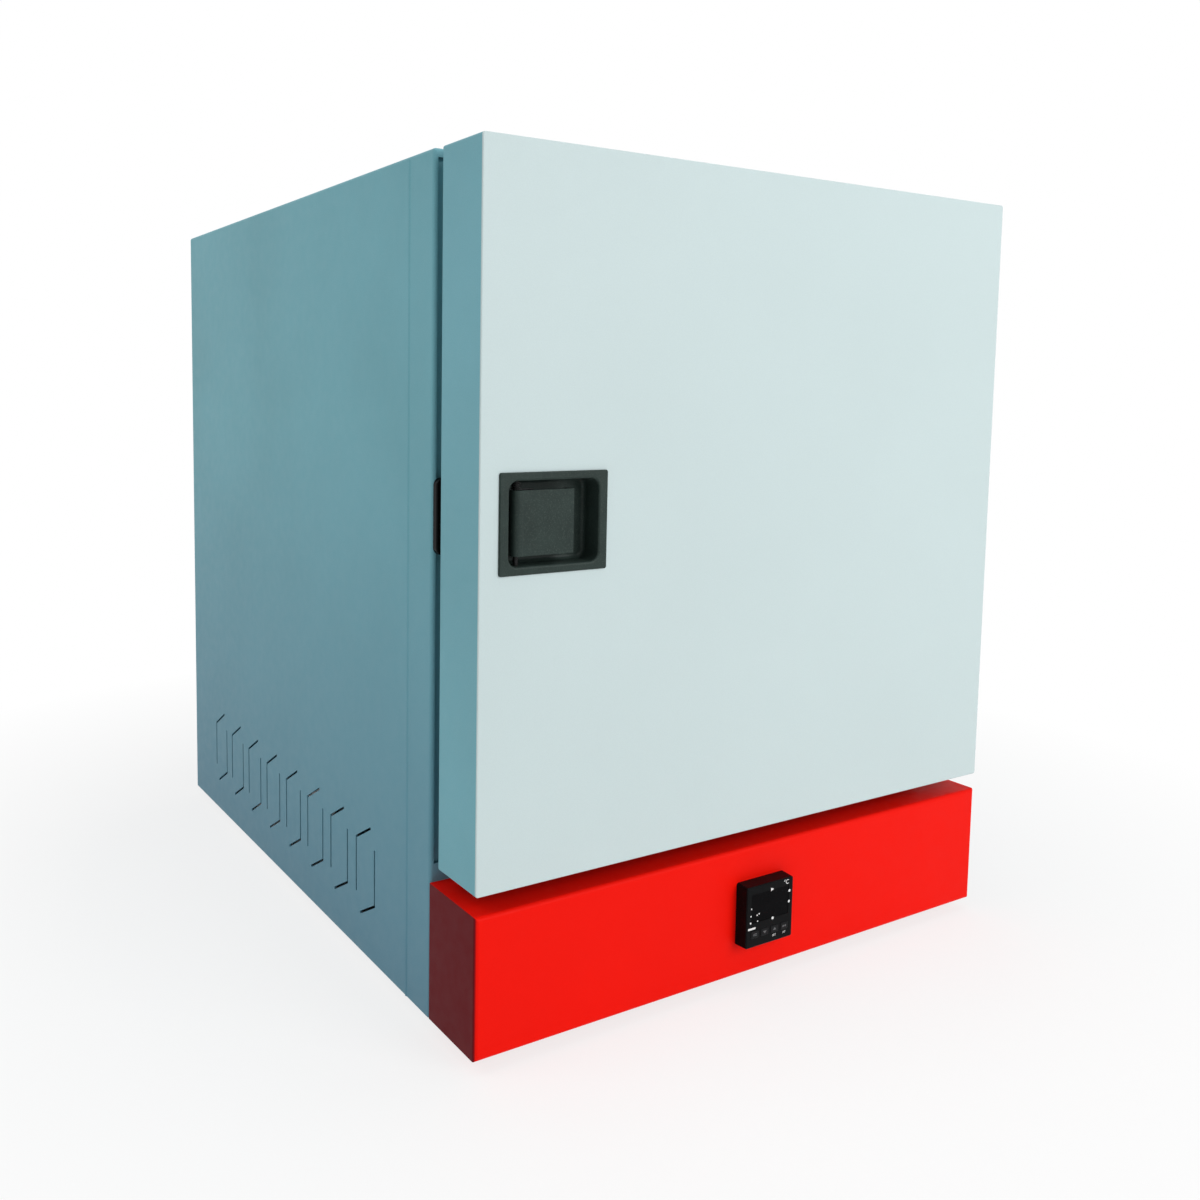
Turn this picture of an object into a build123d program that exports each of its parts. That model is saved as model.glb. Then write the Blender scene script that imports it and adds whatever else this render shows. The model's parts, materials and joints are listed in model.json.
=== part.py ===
from build123d import *
import math
import os

os.makedirs("parts", exist_ok=True)

# Laboratory drying oven, in millimetres.
# X runs to the right seen from the front, Y runs back, Z up from the bench.
# The origin is on the bench, at mid width and at mid depth from door to rear cover.

# Clearances
RUN = 0.05  # radial, shaft in bore
FIT = 0.4  # around a piece that slides or swings past another body
SCREW_SLACK = 0.2  # radial, screw in its hole

# Body
BODY_W = 500.0
BODY_D = 542.0
BODY_H = 594.0
SHEET = 1.5
BEND_R = 2.5
FOOT_H = 10.0
FOOT_R = 15.0
FOOT_INSET = 45.0
LIP_SIDE = 3.2
LIP_TOP = 6.0
RAIL_H = 13.0
RAIL_BACKING = 15.0
BACK_FLANGE = 15.0
RECESS = 4.0
FRAME_RETURN = 25.0
CREASE_BACK = 35.0
CREASE_W = 3.0
CREASE_PROUD = 0.7

# Slits low in both sides, each motif a pair of bent strokes
SLIT_COUNT = 8
SLIT_PITCH = 50.0
SLIT_W = 2.0
SLIT_FIRST = 121.5
SLIT_TOP = 89.0
SLIT_DROP = 44.0
SLIT_RUN = 26.0
SLIT_RISE = 15.0
SLIT_STEP = 33.0

# Door
DOOR_GAP = 12.5
DOOR_T = 50.0
DOOR_SILL = 13.5
DOOR_DROP = 1.0
SKIN = 1.2
SKIN_EDGE_R = 0.8
DOOR_CORNER_R = 2.0
SEAM_OVERLAP = 8.0

# Control panel and its controller
PANEL_H = 98.0
PANEL_BEND_R = 3.0
PANEL_FLANGE = 12.0
CTRL_W = 48.0
CTRL_BODY_W = 44.6
CTRL_BODY_L = 78.0
CTRL_PROUD = 11.0
CTRL_WALL = 2.0
CTRL_TAPER = 3.0
CTRL_SLACK = 0.2
DISPLAY_W = 38.0
DISPLAY_H = 22.0
DISPLAY_SET = 0.3
DISPLAY_LIFT = 6.5
KEY_COUNT = 4
KEY_PITCH = 10.0
KEY_W = 7.4
KEY_H = 5.4
KEY_PROUD = 0.4
KEY_STEM = 3.6
KEY_COLLAR = 0.7
KEY_TRAVEL = 0.8
KEY_DROP = 13.5
KEY_GAP = 0.15
BOARD_T = 1.6

# Stainless chamber
SIDE_WALL = 70.0
MOUTH_BORDER = 60.75
REAR_BAY = 118.0
CHAMBER_R = 12.0
LINER_T = 1.2
CHAMBER_FLANGE = 18.0
INSULATION_SIDE = 50.0
INSULATION_REAR = 45.0
PLENUM = 50.0
TRAY_INSET = 20.0
PLUG_DEPTH = 15.0
PLUG_GAP = 8.0
LINER_BORDER = 34.0
GASKET_W = 14.0
GASKET_R = 3.0
GASKET_GAP = 2.0

# Shelves and the runners that carry them
LEVEL_COUNT = 4
SHELF_LEVELS = {1: "lower_shelf", 3: "upper_shelf"}
RUNNER_W = 11.0
RUNNER_H = 10.0
RUNNER_SETBACK = 28.0
RUNNER_BACK_GAP = 12.0
POST_W = 16.0
SHELF_ROD_R = 3.0
SHELF_WIRE_R = 1.5
SHELF_WIRES = 11
SHELF_SIDE_GAP = 2.0
SHELF_STOP = 4.0
SHELF_FRONT_GAP = 26.0
RUNNER_LIFT = 0.3
WELD_SINK = 0.6

# Fan, heater, probe and vent
FAN_R = 72.0
FAN_L = 30.0
FAN_GAP = 8.0
BLADE_COUNT = 12
BLADE_T = 1.5
BLADE_L = 26.0
BLADE_LEAN = 35.0
HUB_R = 13.0
SHAFT_R = 4.0
SHAFT_HOLE_R = 11.0
MOTOR_R = 34.0
MOTOR_L = 44.0
BRACKET_W = 110.0
BRACKET_T = 2.0
LEG_R = 4.0
LEG_PLACE = 44.0
HEATER_R = 100.0
HEATER_TUBE_R = 3.25
HEATER_OPENING = 24.0
PROBE_R = 2.5
PROBE_REACH = 30.0
PROBE_INSET = 75.0
PROBE_DROP = 70.0
DUCT_R = 22.0
DUCT_INSET = 58.0
SHUTTER_R = 30.0
SHUTTER_T = 1.5
SHUTTER_HOLE_R = 5.5
SHUTTER_HOLE_PLACE = 13.5
SHUTTER_HOLES = 3
SHUTTER_PIN_R = 3.0
KNOB_R = 4.0
KNOB_L = 8.0

# Hinges
PIN_R = 2.5
LEAF_T = 2.0
HINGE_L = 78.0
HINGE_INSET = 90.75
LEAF_REACH = 36.0
PIN_HEAD_R = 4.2
PIN_HEAD_H = 2.0

# Flush paddle latch
LATCH_INSET = 56.0
PAN_W = 84.0
PAN_H = 66.0
PAN_PROUD = 1.6
DISH_W = 70.0
DISH_H = 55.0
DISH_DEPTH = 16.0
DISH_R = 6.5
PAN_WALL = 1.5
PADDLE_W = 42.0
PADDLE_H = 42.4
PADDLE_T = 3.0
PADDLE_SET = 1.0
PADDLE_LIP = 8.0
PADDLE_PIVOT = 9.5
LATCH_PIN_R = 1.75
LATCH_PIN_DEPTH = 6.0
BARREL_R = 4.2
ARM_REACH = 16.0
ARM_R = 2.0
ARM_H = 12.0
PADDLE_SWING = 30.0
BOLT_T = 3.0
BOLT_H = 14.0
BOLT_TAB = 4.0
BOLT_LEG = 5.0
NOSE_L = 4.6
NOSE_T = 4.0
GUIDE_T = 1.5
SPRING_WIRE_R = 0.45
SPRING_R = 3.0
SPRING_TURNS = 3.5

# Keeper on the front frame
KEEPER_W = 30.0
KEEPER_H = 52.0
KEEPER_PROUD = 5.0
KEEPER_LIP = 3.0
KEEPER_EDGE = 1.0
KEEPER_R = 5.0
KEEPER_WALL = 8.0
KEEPER_SCREW_PLACE = 19.0

# Electrical bay
INLET_W = 28.0
INLET_H = 58.0
INLET_L = 27.0
INLET_RIM = 3.0
INLET_RIM_T = 2.5
INLET_INSET = 85.0
INLET_LIFT = 45.0
SOCKET_W = 24.0
SOCKET_H = 16.5
SOCKET_DEPTH = 16.0
SOCKET_DROP = 16.5
ROCKER_W = 19.0
ROCKER_H = 11.0
ROCKER_LIFT = 19.0
ROCKER_TILT = 8.0
ROCKER_PIN_R = 1.2
FUSE_W = 20.0
FUSE_H = 8.0
SINK_W = 70.0
SINK_L = 60.0
SINK_H = 34.0
SINK_FINS = 8
FIN_T = 2.0
RELAY_W = 45.0
RELAY_L = 58.0
RELAY_H = 23.0
SINK_INSET = 120.0
SINK_Y = 90.0
BLOCK_W = 72.0
BLOCK_L = 22.0
BLOCK_H = 18.0
BLOCK_INSET = 190.0
BLOCK_Y = 150.0

# Screws
SCREW_R = 2.0
HEAD_R = 3.6
HEAD_H = 1.8
SCREW_L = 8.0

# Places worked out from the sizes above
BODY_FRONT = (DOOR_GAP + DOOR_T - BODY_D) / 2
BODY_BACK = BODY_FRONT + BODY_D
DOOR_BACK = BODY_FRONT - DOOR_GAP
DOOR_FRONT = DOOR_BACK - DOOR_T
SHELL_FRONT = DOOR_FRONT + SKIN
FLOOR_Z = FOOT_H
TOP_Z = FLOOR_Z + BODY_H
HALF_W = BODY_W / 2
INNER_W = BODY_W - 2 * SHEET
COVER_Y = BODY_BACK - SHEET
CASING_D = BODY_D - SHEET
PANEL_TOP = FLOOR_Z + PANEL_H
PANEL_CZ = (FLOOR_Z + PANEL_TOP) / 2
BAY_TOP = PANEL_TOP - RAIL_BACKING
RAIL_TOP = PANEL_TOP + RAIL_H
MOUTH_TOP = TOP_Z - LIP_TOP
DOOR_Z0 = PANEL_TOP + DOOR_SILL
DOOR_Z1 = TOP_Z - DOOR_DROP
DOOR_H = DOOR_Z1 - DOOR_Z0
DOOR_CZ = (DOOR_Z0 + DOOR_Z1) / 2
FRAME_Y = BODY_FRONT + RECESS
FRAME_BACK = FRAME_Y + FRAME_RETURN
FRAME_H = TOP_Z - SHEET - PANEL_TOP
FRAME_CZ = PANEL_TOP + FRAME_H / 2
FRAME_R = BEND_R - SHEET + SCREW_SLACK
CHAMBER_W = BODY_W - 2 * SIDE_WALL
CHAMBER_H = DOOR_H - 2 * MOUTH_BORDER
CHAMBER_D = BODY_D - RECESS - REAR_BAY
TANK_W = CHAMBER_W + 2 * LINER_T
TANK_H = CHAMBER_H + 2 * LINER_T
TANK_R = CHAMBER_R + LINER_T
CHAMBER_BACK = FRAME_Y + CHAMBER_D
TANK_BACK = CHAMBER_BACK + LINER_T
CHAMBER_Z0 = DOOR_CZ - CHAMBER_H / 2
INSULATION_BACK = TANK_BACK + INSULATION_REAR
DIVIDER_Z = CHAMBER_Z0 - LINER_T - INSULATION_SIDE
BAFFLE_Y = CHAMBER_BACK - PLENUM
LINER_W = CHAMBER_W + 2 * LINER_BORDER
LINER_H = CHAMBER_H + 2 * LINER_BORDER
PLUG_W = CHAMBER_W - 2 * PLUG_GAP
PLUG_H = CHAMBER_H - 2 * PLUG_GAP
PLUG_R = CHAMBER_R - 2.0
PLUG_END = FRAME_Y + PLUG_DEPTH


def facing(y):
    """Upright plane at depth y, seen from the front; extruding by a positive amount comes forward."""
    return Plane(origin=(0, y, 0), x_dir=(1, 0, 0), z_dir=(0, -1, 0))


def sideways(x):
    """Upright plane at x, its own x along the oven's depth; extruding goes to the right."""
    return Plane(origin=(x, 0, 0), x_dir=(0, 1, 0), z_dir=(1, 0, 0))


def level(z):
    """Horizontal plane at height z."""
    return Plane.XY.offset(z)


def finish_part(builder, name):
    """Label a finished piece and write its file."""
    builder.part.label = name
    export_step(builder.part, "parts/" + name + ".step")


def mirrored(x, heights):
    """Places at x and at minus x for each height."""
    return [(side * x, z) for side in (-1, 1) for z in heights]


# Screws of the rear cover: three down each side and two along the top
SCREW_EDGE = BACK_FLANGE / 2
COVER_SCREWS = mirrored(HALF_W - SCREW_EDGE, [FLOOR_Z + 40, FLOOR_Z + BODY_H / 2, TOP_Z - 40])
COVER_SCREWS += [(-HALF_W / 2, TOP_Z - SCREW_EDGE), (HALF_W / 2, TOP_Z - SCREW_EDGE)]

# Hinge axis and heights
KNUCKLE_R = PIN_R + LEAF_T
HINGE_X = HALF_W + KNUCKLE_R
HINGE_Y = BODY_FRONT - DOOR_GAP / 2
HINGE_Z = [DOOR_Z0 + HINGE_INSET, DOOR_Z1 - HINGE_INSET]
LEAF_SCREW_Y = LEAF_REACH - 12.0
LEAF_SCREWS = [z + side * HINGE_L / 3 for z in HINGE_Z for side in (-1, 1)]

# Latch places
LATCH_X = -HALF_W + LATCH_INSET
PIVOT_X = LATCH_X - DISH_W / 2 + PADDLE_PIVOT
PIVOT_Y = DOOR_FRONT + LATCH_PIN_DEPTH
PAN_FLOOR = DOOR_FRONT + DISH_DEPTH
PAN_BACK = PAN_FLOOR + PAN_WALL
BOLT_TRAVEL = ARM_REACH * math.radians(PADDLE_SWING)
BOLT_Y = PIVOT_Y + ARM_REACH + ARM_R + 1.0
TAB_X = PIVOT_X + ARM_R + 0.3
KEEPER_X0 = -HALF_W + KEEPER_EDGE
MOUTH_X0 = KEEPER_X0 + KEEPER_WALL
NOSE_X = MOUTH_X0 + FIT
LEG_X = NOSE_X + NOSE_L
LEG_X1 = LEG_X + BOLT_LEG
MOUTH_X1 = LEG_X1 + BOLT_TRAVEL + FIT
NOSE_BACK = FRAME_Y - 1.2

# Rear service places, measured from the chamber's walls
DUCT_PLACE = (DUCT_INSET - CHAMBER_W / 2, DOOR_CZ + CHAMBER_H / 2 - DUCT_INSET)
PROBE_PLACE = (CHAMBER_W / 2 - PROBE_INSET, DOOR_CZ + CHAMBER_H / 2 - PROBE_DROP)
INLET_X = HALF_W - INLET_INSET
INLET_Z = FLOOR_Z + INLET_LIFT
SINK_X = SINK_INSET - HALF_W
BLOCK_X = HALF_W - BLOCK_INSET
LEG_PLACES = mirrored(LEG_PLACE, [DOOR_CZ - LEG_PLACE, DOOR_CZ + LEG_PLACE])
HEATER_END = HEATER_OPENING / 2
HEATER_GAP_ANGLE = math.degrees(math.asin(HEATER_END / HEATER_R))
HEATER_PLACES = mirrored(HEATER_END, [DOOR_CZ - math.sqrt(HEATER_R**2 - HEATER_END**2)])
SHUTTER_Y = BODY_BACK + 0.3

# Outer casing: left side, top and right side in one bent sheet, with turned-in edges
with BuildPart() as outer_casing:
    with BuildSketch(facing(BODY_FRONT)):
        with Locations((0, FLOOR_Z + BODY_H / 2)):
            Rectangle(BODY_W, BODY_H)
    extrude(amount=-CASING_D)
    top_bends = outer_casing.edges().filter_by(Axis.Y).group_by(Axis.Z)[-1]
    front_face = outer_casing.faces().sort_by(Axis.Y)[0]
    fillet(top_bends + front_face.edges().sort_by(Axis.Z)[1:], BEND_R)
    offset(amount=-SHEET, openings=outer_casing.faces().sort_by(Axis.Z)[0])
    with BuildSketch(facing(BODY_FRONT)):
        with Locations((0, (RAIL_TOP + MOUTH_TOP) / 2)):
            Rectangle(BODY_W - 2 * LIP_SIDE, MOUTH_TOP - RAIL_TOP)
        with Locations((0, (FLOOR_Z + BAY_TOP) / 2)):
            Rectangle(BODY_W - 2 * PANEL_FLANGE, BAY_TOP - FLOOR_Z)
    extrude(amount=-2 * SHEET, mode=Mode.SUBTRACT)
    with BuildSketch(facing(COVER_Y)):
        with Locations((0, (FLOOR_Z + TOP_Z - BACK_FLANGE) / 2)):
            Rectangle(BODY_W - 2 * BACK_FLANGE, BODY_H - BACK_FLANGE)
        with Locations(COVER_SCREWS):
            Circle(SCREW_R + SCREW_SLACK)
    extrude(amount=2 * SHEET, mode=Mode.SUBTRACT)
    for side in (-1, 1):
        with BuildSketch(sideways(side * HALF_W)):
            for step in range(SLIT_COUNT):
                upper = BODY_FRONT + SLIT_FIRST + step * SLIT_PITCH
                lower = upper - SLIT_STEP
                slit_top = FLOOR_Z + SLIT_TOP
                slit_end = slit_top - SLIT_DROP
                with BuildLine():
                    Polyline(
                        (upper - SLIT_RUN, slit_top + SLIT_RISE),
                        (upper, slit_top),
                        (upper, slit_end),
                    )
                    Polyline(
                        (lower, slit_top),
                        (lower, slit_end),
                        (lower + SLIT_RUN, slit_end - SLIT_RISE),
                    )
                trace(line_width=SLIT_W)
        extrude(amount=2 * SHEET, both=True, mode=Mode.SUBTRACT)
        with BuildSketch(level(FLOOR_Z)):
            with BuildLine():
                Polyline(
                    (side * (HALF_W - SHEET), BODY_FRONT + CREASE_BACK - CREASE_W / 2),
                    (side * HALF_W, BODY_FRONT + CREASE_BACK - CREASE_W / 2),
                    (side * (HALF_W + CREASE_PROUD), BODY_FRONT + CREASE_BACK),
                    (side * HALF_W, BODY_FRONT + CREASE_BACK + CREASE_W / 2),
                    (side * (HALF_W - SHEET), BODY_FRONT + CREASE_BACK + CREASE_W / 2),
                    close=True,
                )
            make_face()
        extrude(amount=BODY_H - BEND_R)
    with BuildSketch(sideways(HALF_W)):
        with Locations([(HINGE_Y + LEAF_SCREW_Y, z) for z in LEAF_SCREWS]):
            Circle(SCREW_R + SCREW_SLACK)
    extrude(amount=-2 * SHEET, mode=Mode.SUBTRACT)
finish_part(outer_casing, "outer_casing")

# Front frame: the recessed pan around the chamber's mouth
with BuildPart() as front_frame:
    with BuildSketch(facing(FRAME_Y)):
        with Locations((0, FRAME_CZ)):
            RectangleRounded(INNER_W, FRAME_H, FRAME_R)
    extrude(amount=-FRAME_RETURN)
    with BuildSketch(facing(FRAME_Y + SHEET)):
        with Locations((0, FRAME_CZ)):
            Rectangle(INNER_W - 2 * SHEET, FRAME_H - 2 * SHEET)
    extrude(amount=-FRAME_RETURN, mode=Mode.SUBTRACT)
    with BuildSketch(facing(FRAME_Y)):
        with Locations((0, DOOR_CZ)):
            RectangleRounded(TANK_W, TANK_H, TANK_R)
        with Locations([(KEEPER_X0 + KEEPER_W / 2, DOOR_CZ + s * KEEPER_SCREW_PLACE) for s in (-1, 1)]):
            Circle(SCREW_R + SCREW_SLACK)
    extrude(amount=-2 * SHEET, mode=Mode.SUBTRACT)
    with BuildSketch(sideways(HALF_W)):
        with Locations([(HINGE_Y + LEAF_SCREW_Y, z) for z in LEAF_SCREWS]):
            Circle(SCREW_R + SCREW_SLACK)
    extrude(amount=-3 * SHEET, mode=Mode.SUBTRACT)
finish_part(front_frame, "front_frame")

# Base plate: tray that closes the casing from below, with air slots
BASE_L = COVER_Y - SHEET - (BODY_FRONT + BEND_R)
BASE_CY = (COVER_Y - SHEET + BODY_FRONT + BEND_R) / 2
BASE_FLANGE = 15.0
BASE_SLOTS = 8
BASE_SLOT_PITCH = 30.0
BASE_SLOT_L = 60.0
BASE_SLOT_W = 5.0
FOOT_X = HALF_W - FOOT_INSET
FOOT_PLACES = [
    (sx * FOOT_X, y) for sx in (-1, 1) for y in (BODY_FRONT + FOOT_INSET, BODY_BACK - FOOT_INSET)
]
with BuildPart() as base_plate:
    with BuildSketch(level(FLOOR_Z)):
        with Locations((0, BASE_CY)):
            Rectangle(INNER_W, BASE_L)
    extrude(amount=SHEET)
    with BuildSketch(level(FLOOR_Z + SHEET)):
        with Locations([(side * (INNER_W - SHEET) / 2, BASE_CY) for side in (-1, 1)]):
            Rectangle(SHEET, BASE_L)
        with Locations((0, BASE_CY + (BASE_L - SHEET) / 2)):
            Rectangle(INNER_W, SHEET)
    extrude(amount=BASE_FLANGE - SHEET)
    with BuildSketch(level(FLOOR_Z)):
        with Locations((0, BODY_FRONT + BODY_D / 4)):
            with GridLocations(BASE_SLOT_PITCH, 0, BASE_SLOTS, 1):
                SlotOverall(BASE_SLOT_L, BASE_SLOT_W, rotation=90)
        with Locations(FOOT_PLACES):
            Circle(SCREW_R + SCREW_SLACK)
    extrude(amount=2 * SHEET, mode=Mode.SUBTRACT)
finish_part(base_plate, "base_plate")

# Rubber feet and their screws
FOOT_POCKET = FOOT_H / 2
with BuildPart() as feet:
    with Locations([(x, y, FOOT_H / 2) for x, y in FOOT_PLACES]):
        Cone(FOOT_R - 1.5, FOOT_R, FOOT_H)
    with BuildSketch(level(0)):
        with Locations(FOOT_PLACES):
            Circle(HEAD_R + 1)
    extrude(amount=FOOT_POCKET, mode=Mode.SUBTRACT)
    with BuildSketch(level(0)):
        with Locations(FOOT_PLACES):
            Circle(SCREW_R + SCREW_SLACK)
    extrude(amount=FOOT_H, mode=Mode.SUBTRACT)
finish_part(feet, "feet")

with BuildPart() as foot_screws:
    with BuildSketch(level(FOOT_POCKET)):
        with Locations(FOOT_PLACES):
            Circle(HEAD_R)
    extrude(amount=-HEAD_H)
    with BuildSketch(level(FOOT_POCKET)):
        with Locations(FOOT_PLACES):
            Circle(SCREW_R)
    extrude(amount=FOOT_H - FOOT_POCKET + SHEET + SCREW_R)
finish_part(foot_screws, "foot_screws")

# Bay divider: sheet over the electrical bay that carries the insulated chamber
DIVIDER_L = COVER_Y - SHEET - FRAME_BACK
DIVIDER_CY = (COVER_Y - SHEET + FRAME_BACK) / 2
with BuildPart() as bay_divider:
    with BuildSketch(level(DIVIDER_Z - SHEET)):
        with Locations((0, DIVIDER_CY)):
            Rectangle(INNER_W, DIVIDER_L)
    extrude(amount=SHEET)
    with BuildSketch(level(DIVIDER_Z - SHEET)):
        with Locations([(side * (INNER_W - SHEET) / 2, DIVIDER_CY) for side in (-1, 1)]):
            Rectangle(SHEET, DIVIDER_L)
    extrude(amount=-BASE_FLANGE)
finish_part(bay_divider, "bay_divider")

# Rear cover: screwed to the casing's back edge, with vents, shutter holes and inlet cut-out
VENT_L = 46.0
VENT_H = 5.0
with BuildPart() as rear_cover:
    with BuildSketch(facing(COVER_Y)):
        with Locations((0, FLOOR_Z + BODY_H / 2)):
            Rectangle(BODY_W, BODY_H)
    extrude(amount=-SHEET)
    fillet(rear_cover.edges().filter_by(Axis.Y).group_by(Axis.Z)[-1], BEND_R)
    with BuildSketch(facing(COVER_Y)):
        with Locations(COVER_SCREWS):
            Circle(SCREW_R + SCREW_SLACK)
        with Locations((INLET_X, INLET_Z)):
            Rectangle(INLET_W + FIT, INLET_H + FIT)
        with Locations((0, DOOR_CZ)):
            with GridLocations(VENT_L + 12, 12, 2, 5):
                SlotOverall(VENT_L, VENT_H)
        with Locations((SINK_X, INLET_Z)):
            with GridLocations(VENT_L + 12, 12, 2, 3):
                SlotOverall(VENT_L, VENT_H)
        with Locations(DUCT_PLACE):
            Circle(SHUTTER_PIN_R + RUN)
            with PolarLocations(SHUTTER_HOLE_PLACE, SHUTTER_HOLES):
                Circle(SHUTTER_HOLE_R)
    extrude(amount=-2 * SHEET, mode=Mode.SUBTRACT)
finish_part(rear_cover, "rear_cover")

with BuildPart() as rear_cover_screws:
    with BuildSketch(facing(BODY_BACK)):
        with Locations(COVER_SCREWS):
            Circle(HEAD_R)
    extrude(amount=-HEAD_H)
    with BuildSketch(facing(BODY_BACK)):
        with Locations(COVER_SCREWS):
            Circle(SCREW_R)
    extrude(amount=SCREW_L)
finish_part(rear_cover_screws, "rear_cover_screws")

# Control panel: folded box under the door, level with the door's face
with BuildPart() as control_panel:
    with BuildSketch(facing(BODY_FRONT)):
        with Locations((0, PANEL_CZ)):
            Rectangle(BODY_W, PANEL_H)
    extrude(amount=BODY_FRONT - DOOR_FRONT)
    fillet(control_panel.faces().sort_by(Axis.Y)[0].edges(), PANEL_BEND_R)
    offset(amount=-SHEET, openings=control_panel.faces().sort_by(Axis.Y)[-1])
    with BuildSketch(facing(BODY_FRONT)):
        with Locations((0, PANEL_CZ)):
            Rectangle(BODY_W - SHEET, PANEL_H - SHEET)
            Rectangle(BODY_W - 2 * PANEL_FLANGE, PANEL_H - 2 * PANEL_FLANGE, mode=Mode.SUBTRACT)
    extrude(amount=SHEET)
    with BuildSketch(facing(DOOR_FRONT)):
        with Locations((0, PANEL_CZ)):
            Rectangle(CTRL_BODY_W + 2 * CTRL_SLACK, CTRL_BODY_W + 2 * CTRL_SLACK)
    extrude(amount=-2 * SHEET, mode=Mode.SUBTRACT)
finish_part(control_panel, "control_panel")

# Temperature controller
BEZEL_Y = DOOR_FRONT - CTRL_PROUD
BOARD_Y = BEZEL_Y + CTRL_WALL + KEY_STEM
KEY_Z = PANEL_CZ - KEY_DROP
KEY_XS = [(i - (KEY_COUNT - 1) / 2) * KEY_PITCH for i in range(KEY_COUNT)]
with BuildPart() as controller_bezel:
    with BuildSketch(facing(DOOR_FRONT)):
        with Locations((0, PANEL_CZ)):
            RectangleRounded(CTRL_W, CTRL_W, CTRL_WALL)
    extrude(amount=CTRL_PROUD, taper=CTRL_TAPER)
    fillet(controller_bezel.faces().sort_by(Axis.Y)[0].edges(), CTRL_WALL / 2)
    with BuildSketch(facing(DOOR_FRONT)):
        with Locations((0, PANEL_CZ)):
            Rectangle(CTRL_BODY_W, CTRL_BODY_W)
    extrude(amount=CTRL_PROUD - CTRL_WALL, taper=CTRL_TAPER, mode=Mode.SUBTRACT)
    with BuildSketch(facing(BEZEL_Y)):
        with Locations((0, PANEL_CZ + DISPLAY_LIFT)):
            Rectangle(DISPLAY_W, DISPLAY_H)
        with Locations([(x, KEY_Z) for x in KEY_XS]):
            RectangleRounded(KEY_W + 2 * KEY_GAP, KEY_H + 2 * KEY_GAP, 1.0)
    extrude(amount=-2 * CTRL_WALL, mode=Mode.SUBTRACT)
finish_part(controller_bezel, "controller_bezel")

with BuildPart() as controller_display:
    with BuildSketch(facing(BEZEL_Y + CTRL_WALL)):
        with Locations((0, PANEL_CZ + DISPLAY_LIFT)):
            Rectangle(DISPLAY_W - 2 * KEY_GAP, DISPLAY_H - 2 * KEY_GAP)
    extrude(amount=CTRL_WALL - DISPLAY_SET)
finish_part(controller_display, "controller_display")

for number, key_x in enumerate(KEY_XS, start=1):
    with BuildPart() as controller_key:
        with BuildSketch(facing(BEZEL_Y - KEY_PROUD)):
            with Locations((key_x, KEY_Z)):
                RectangleRounded(KEY_W, KEY_H, 0.9)
        extrude(amount=-(BOARD_Y - KEY_TRAVEL - KEY_GAP - BEZEL_Y + KEY_PROUD))
        fillet(controller_key.faces().sort_by(Axis.Y)[0].edges(), KEY_PROUD / 2)
        with BuildSketch(facing(BEZEL_Y + CTRL_WALL + KEY_GAP)):
            with Locations((key_x, KEY_Z)):
                Rectangle(KEY_W + 2 * KEY_COLLAR, KEY_H + 2 * KEY_COLLAR)
        extrude(amount=-KEY_COLLAR)
    finish_part(controller_key, "controller_key_" + str(number))

with BuildPart() as controller_board:
    with BuildSketch(facing(BOARD_Y)):
        with Locations((0, PANEL_CZ)):
            Rectangle(CTRL_BODY_W - 4 * CTRL_SLACK, CTRL_BODY_W - 4 * CTRL_SLACK)
    extrude(amount=-BOARD_T)
    with BuildSketch(facing(BOARD_Y)):
        with Locations((0, PANEL_CZ + DISPLAY_LIFT)):
            Rectangle(DISPLAY_W - 4, DISPLAY_H - 4)
    extrude(amount=KEY_STEM - KEY_GAP)
finish_part(controller_board, "controller_board")

HOUSING_Y = BOARD_Y + BOARD_T
with BuildPart() as controller_housing:
    with BuildSketch(facing(HOUSING_Y)):
        with Locations((0, PANEL_CZ)):
            Rectangle(CTRL_BODY_W - 2 * CTRL_SLACK, CTRL_BODY_W - 2 * CTRL_SLACK)
    extrude(amount=-(DOOR_FRONT + CTRL_BODY_L - HOUSING_Y))
    with BuildSketch(facing(DOOR_FRONT + CTRL_BODY_L)):
        with Locations((0, PANEL_CZ)):
            with GridLocations(CTRL_BODY_W / 2, 7, 2, 5):
                Rectangle(8, 4.5)
    extrude(amount=6, mode=Mode.SUBTRACT)
finish_part(controller_housing, "controller_housing")

CLAMP_L = 7.0
CLAMP_WALL = 5.0
with BuildPart() as controller_clamp:
    with BuildSketch(facing(DOOR_FRONT + SHEET)):
        with Locations((0, PANEL_CZ)):
            RectangleRounded(CTRL_BODY_W + 2 * CLAMP_WALL, CTRL_BODY_W + 2 * CLAMP_WALL, 3)
            Rectangle(CTRL_BODY_W, CTRL_BODY_W, mode=Mode.SUBTRACT)
    extrude(amount=-CLAMP_L)
finish_part(controller_clamp, "controller_clamp")

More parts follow.
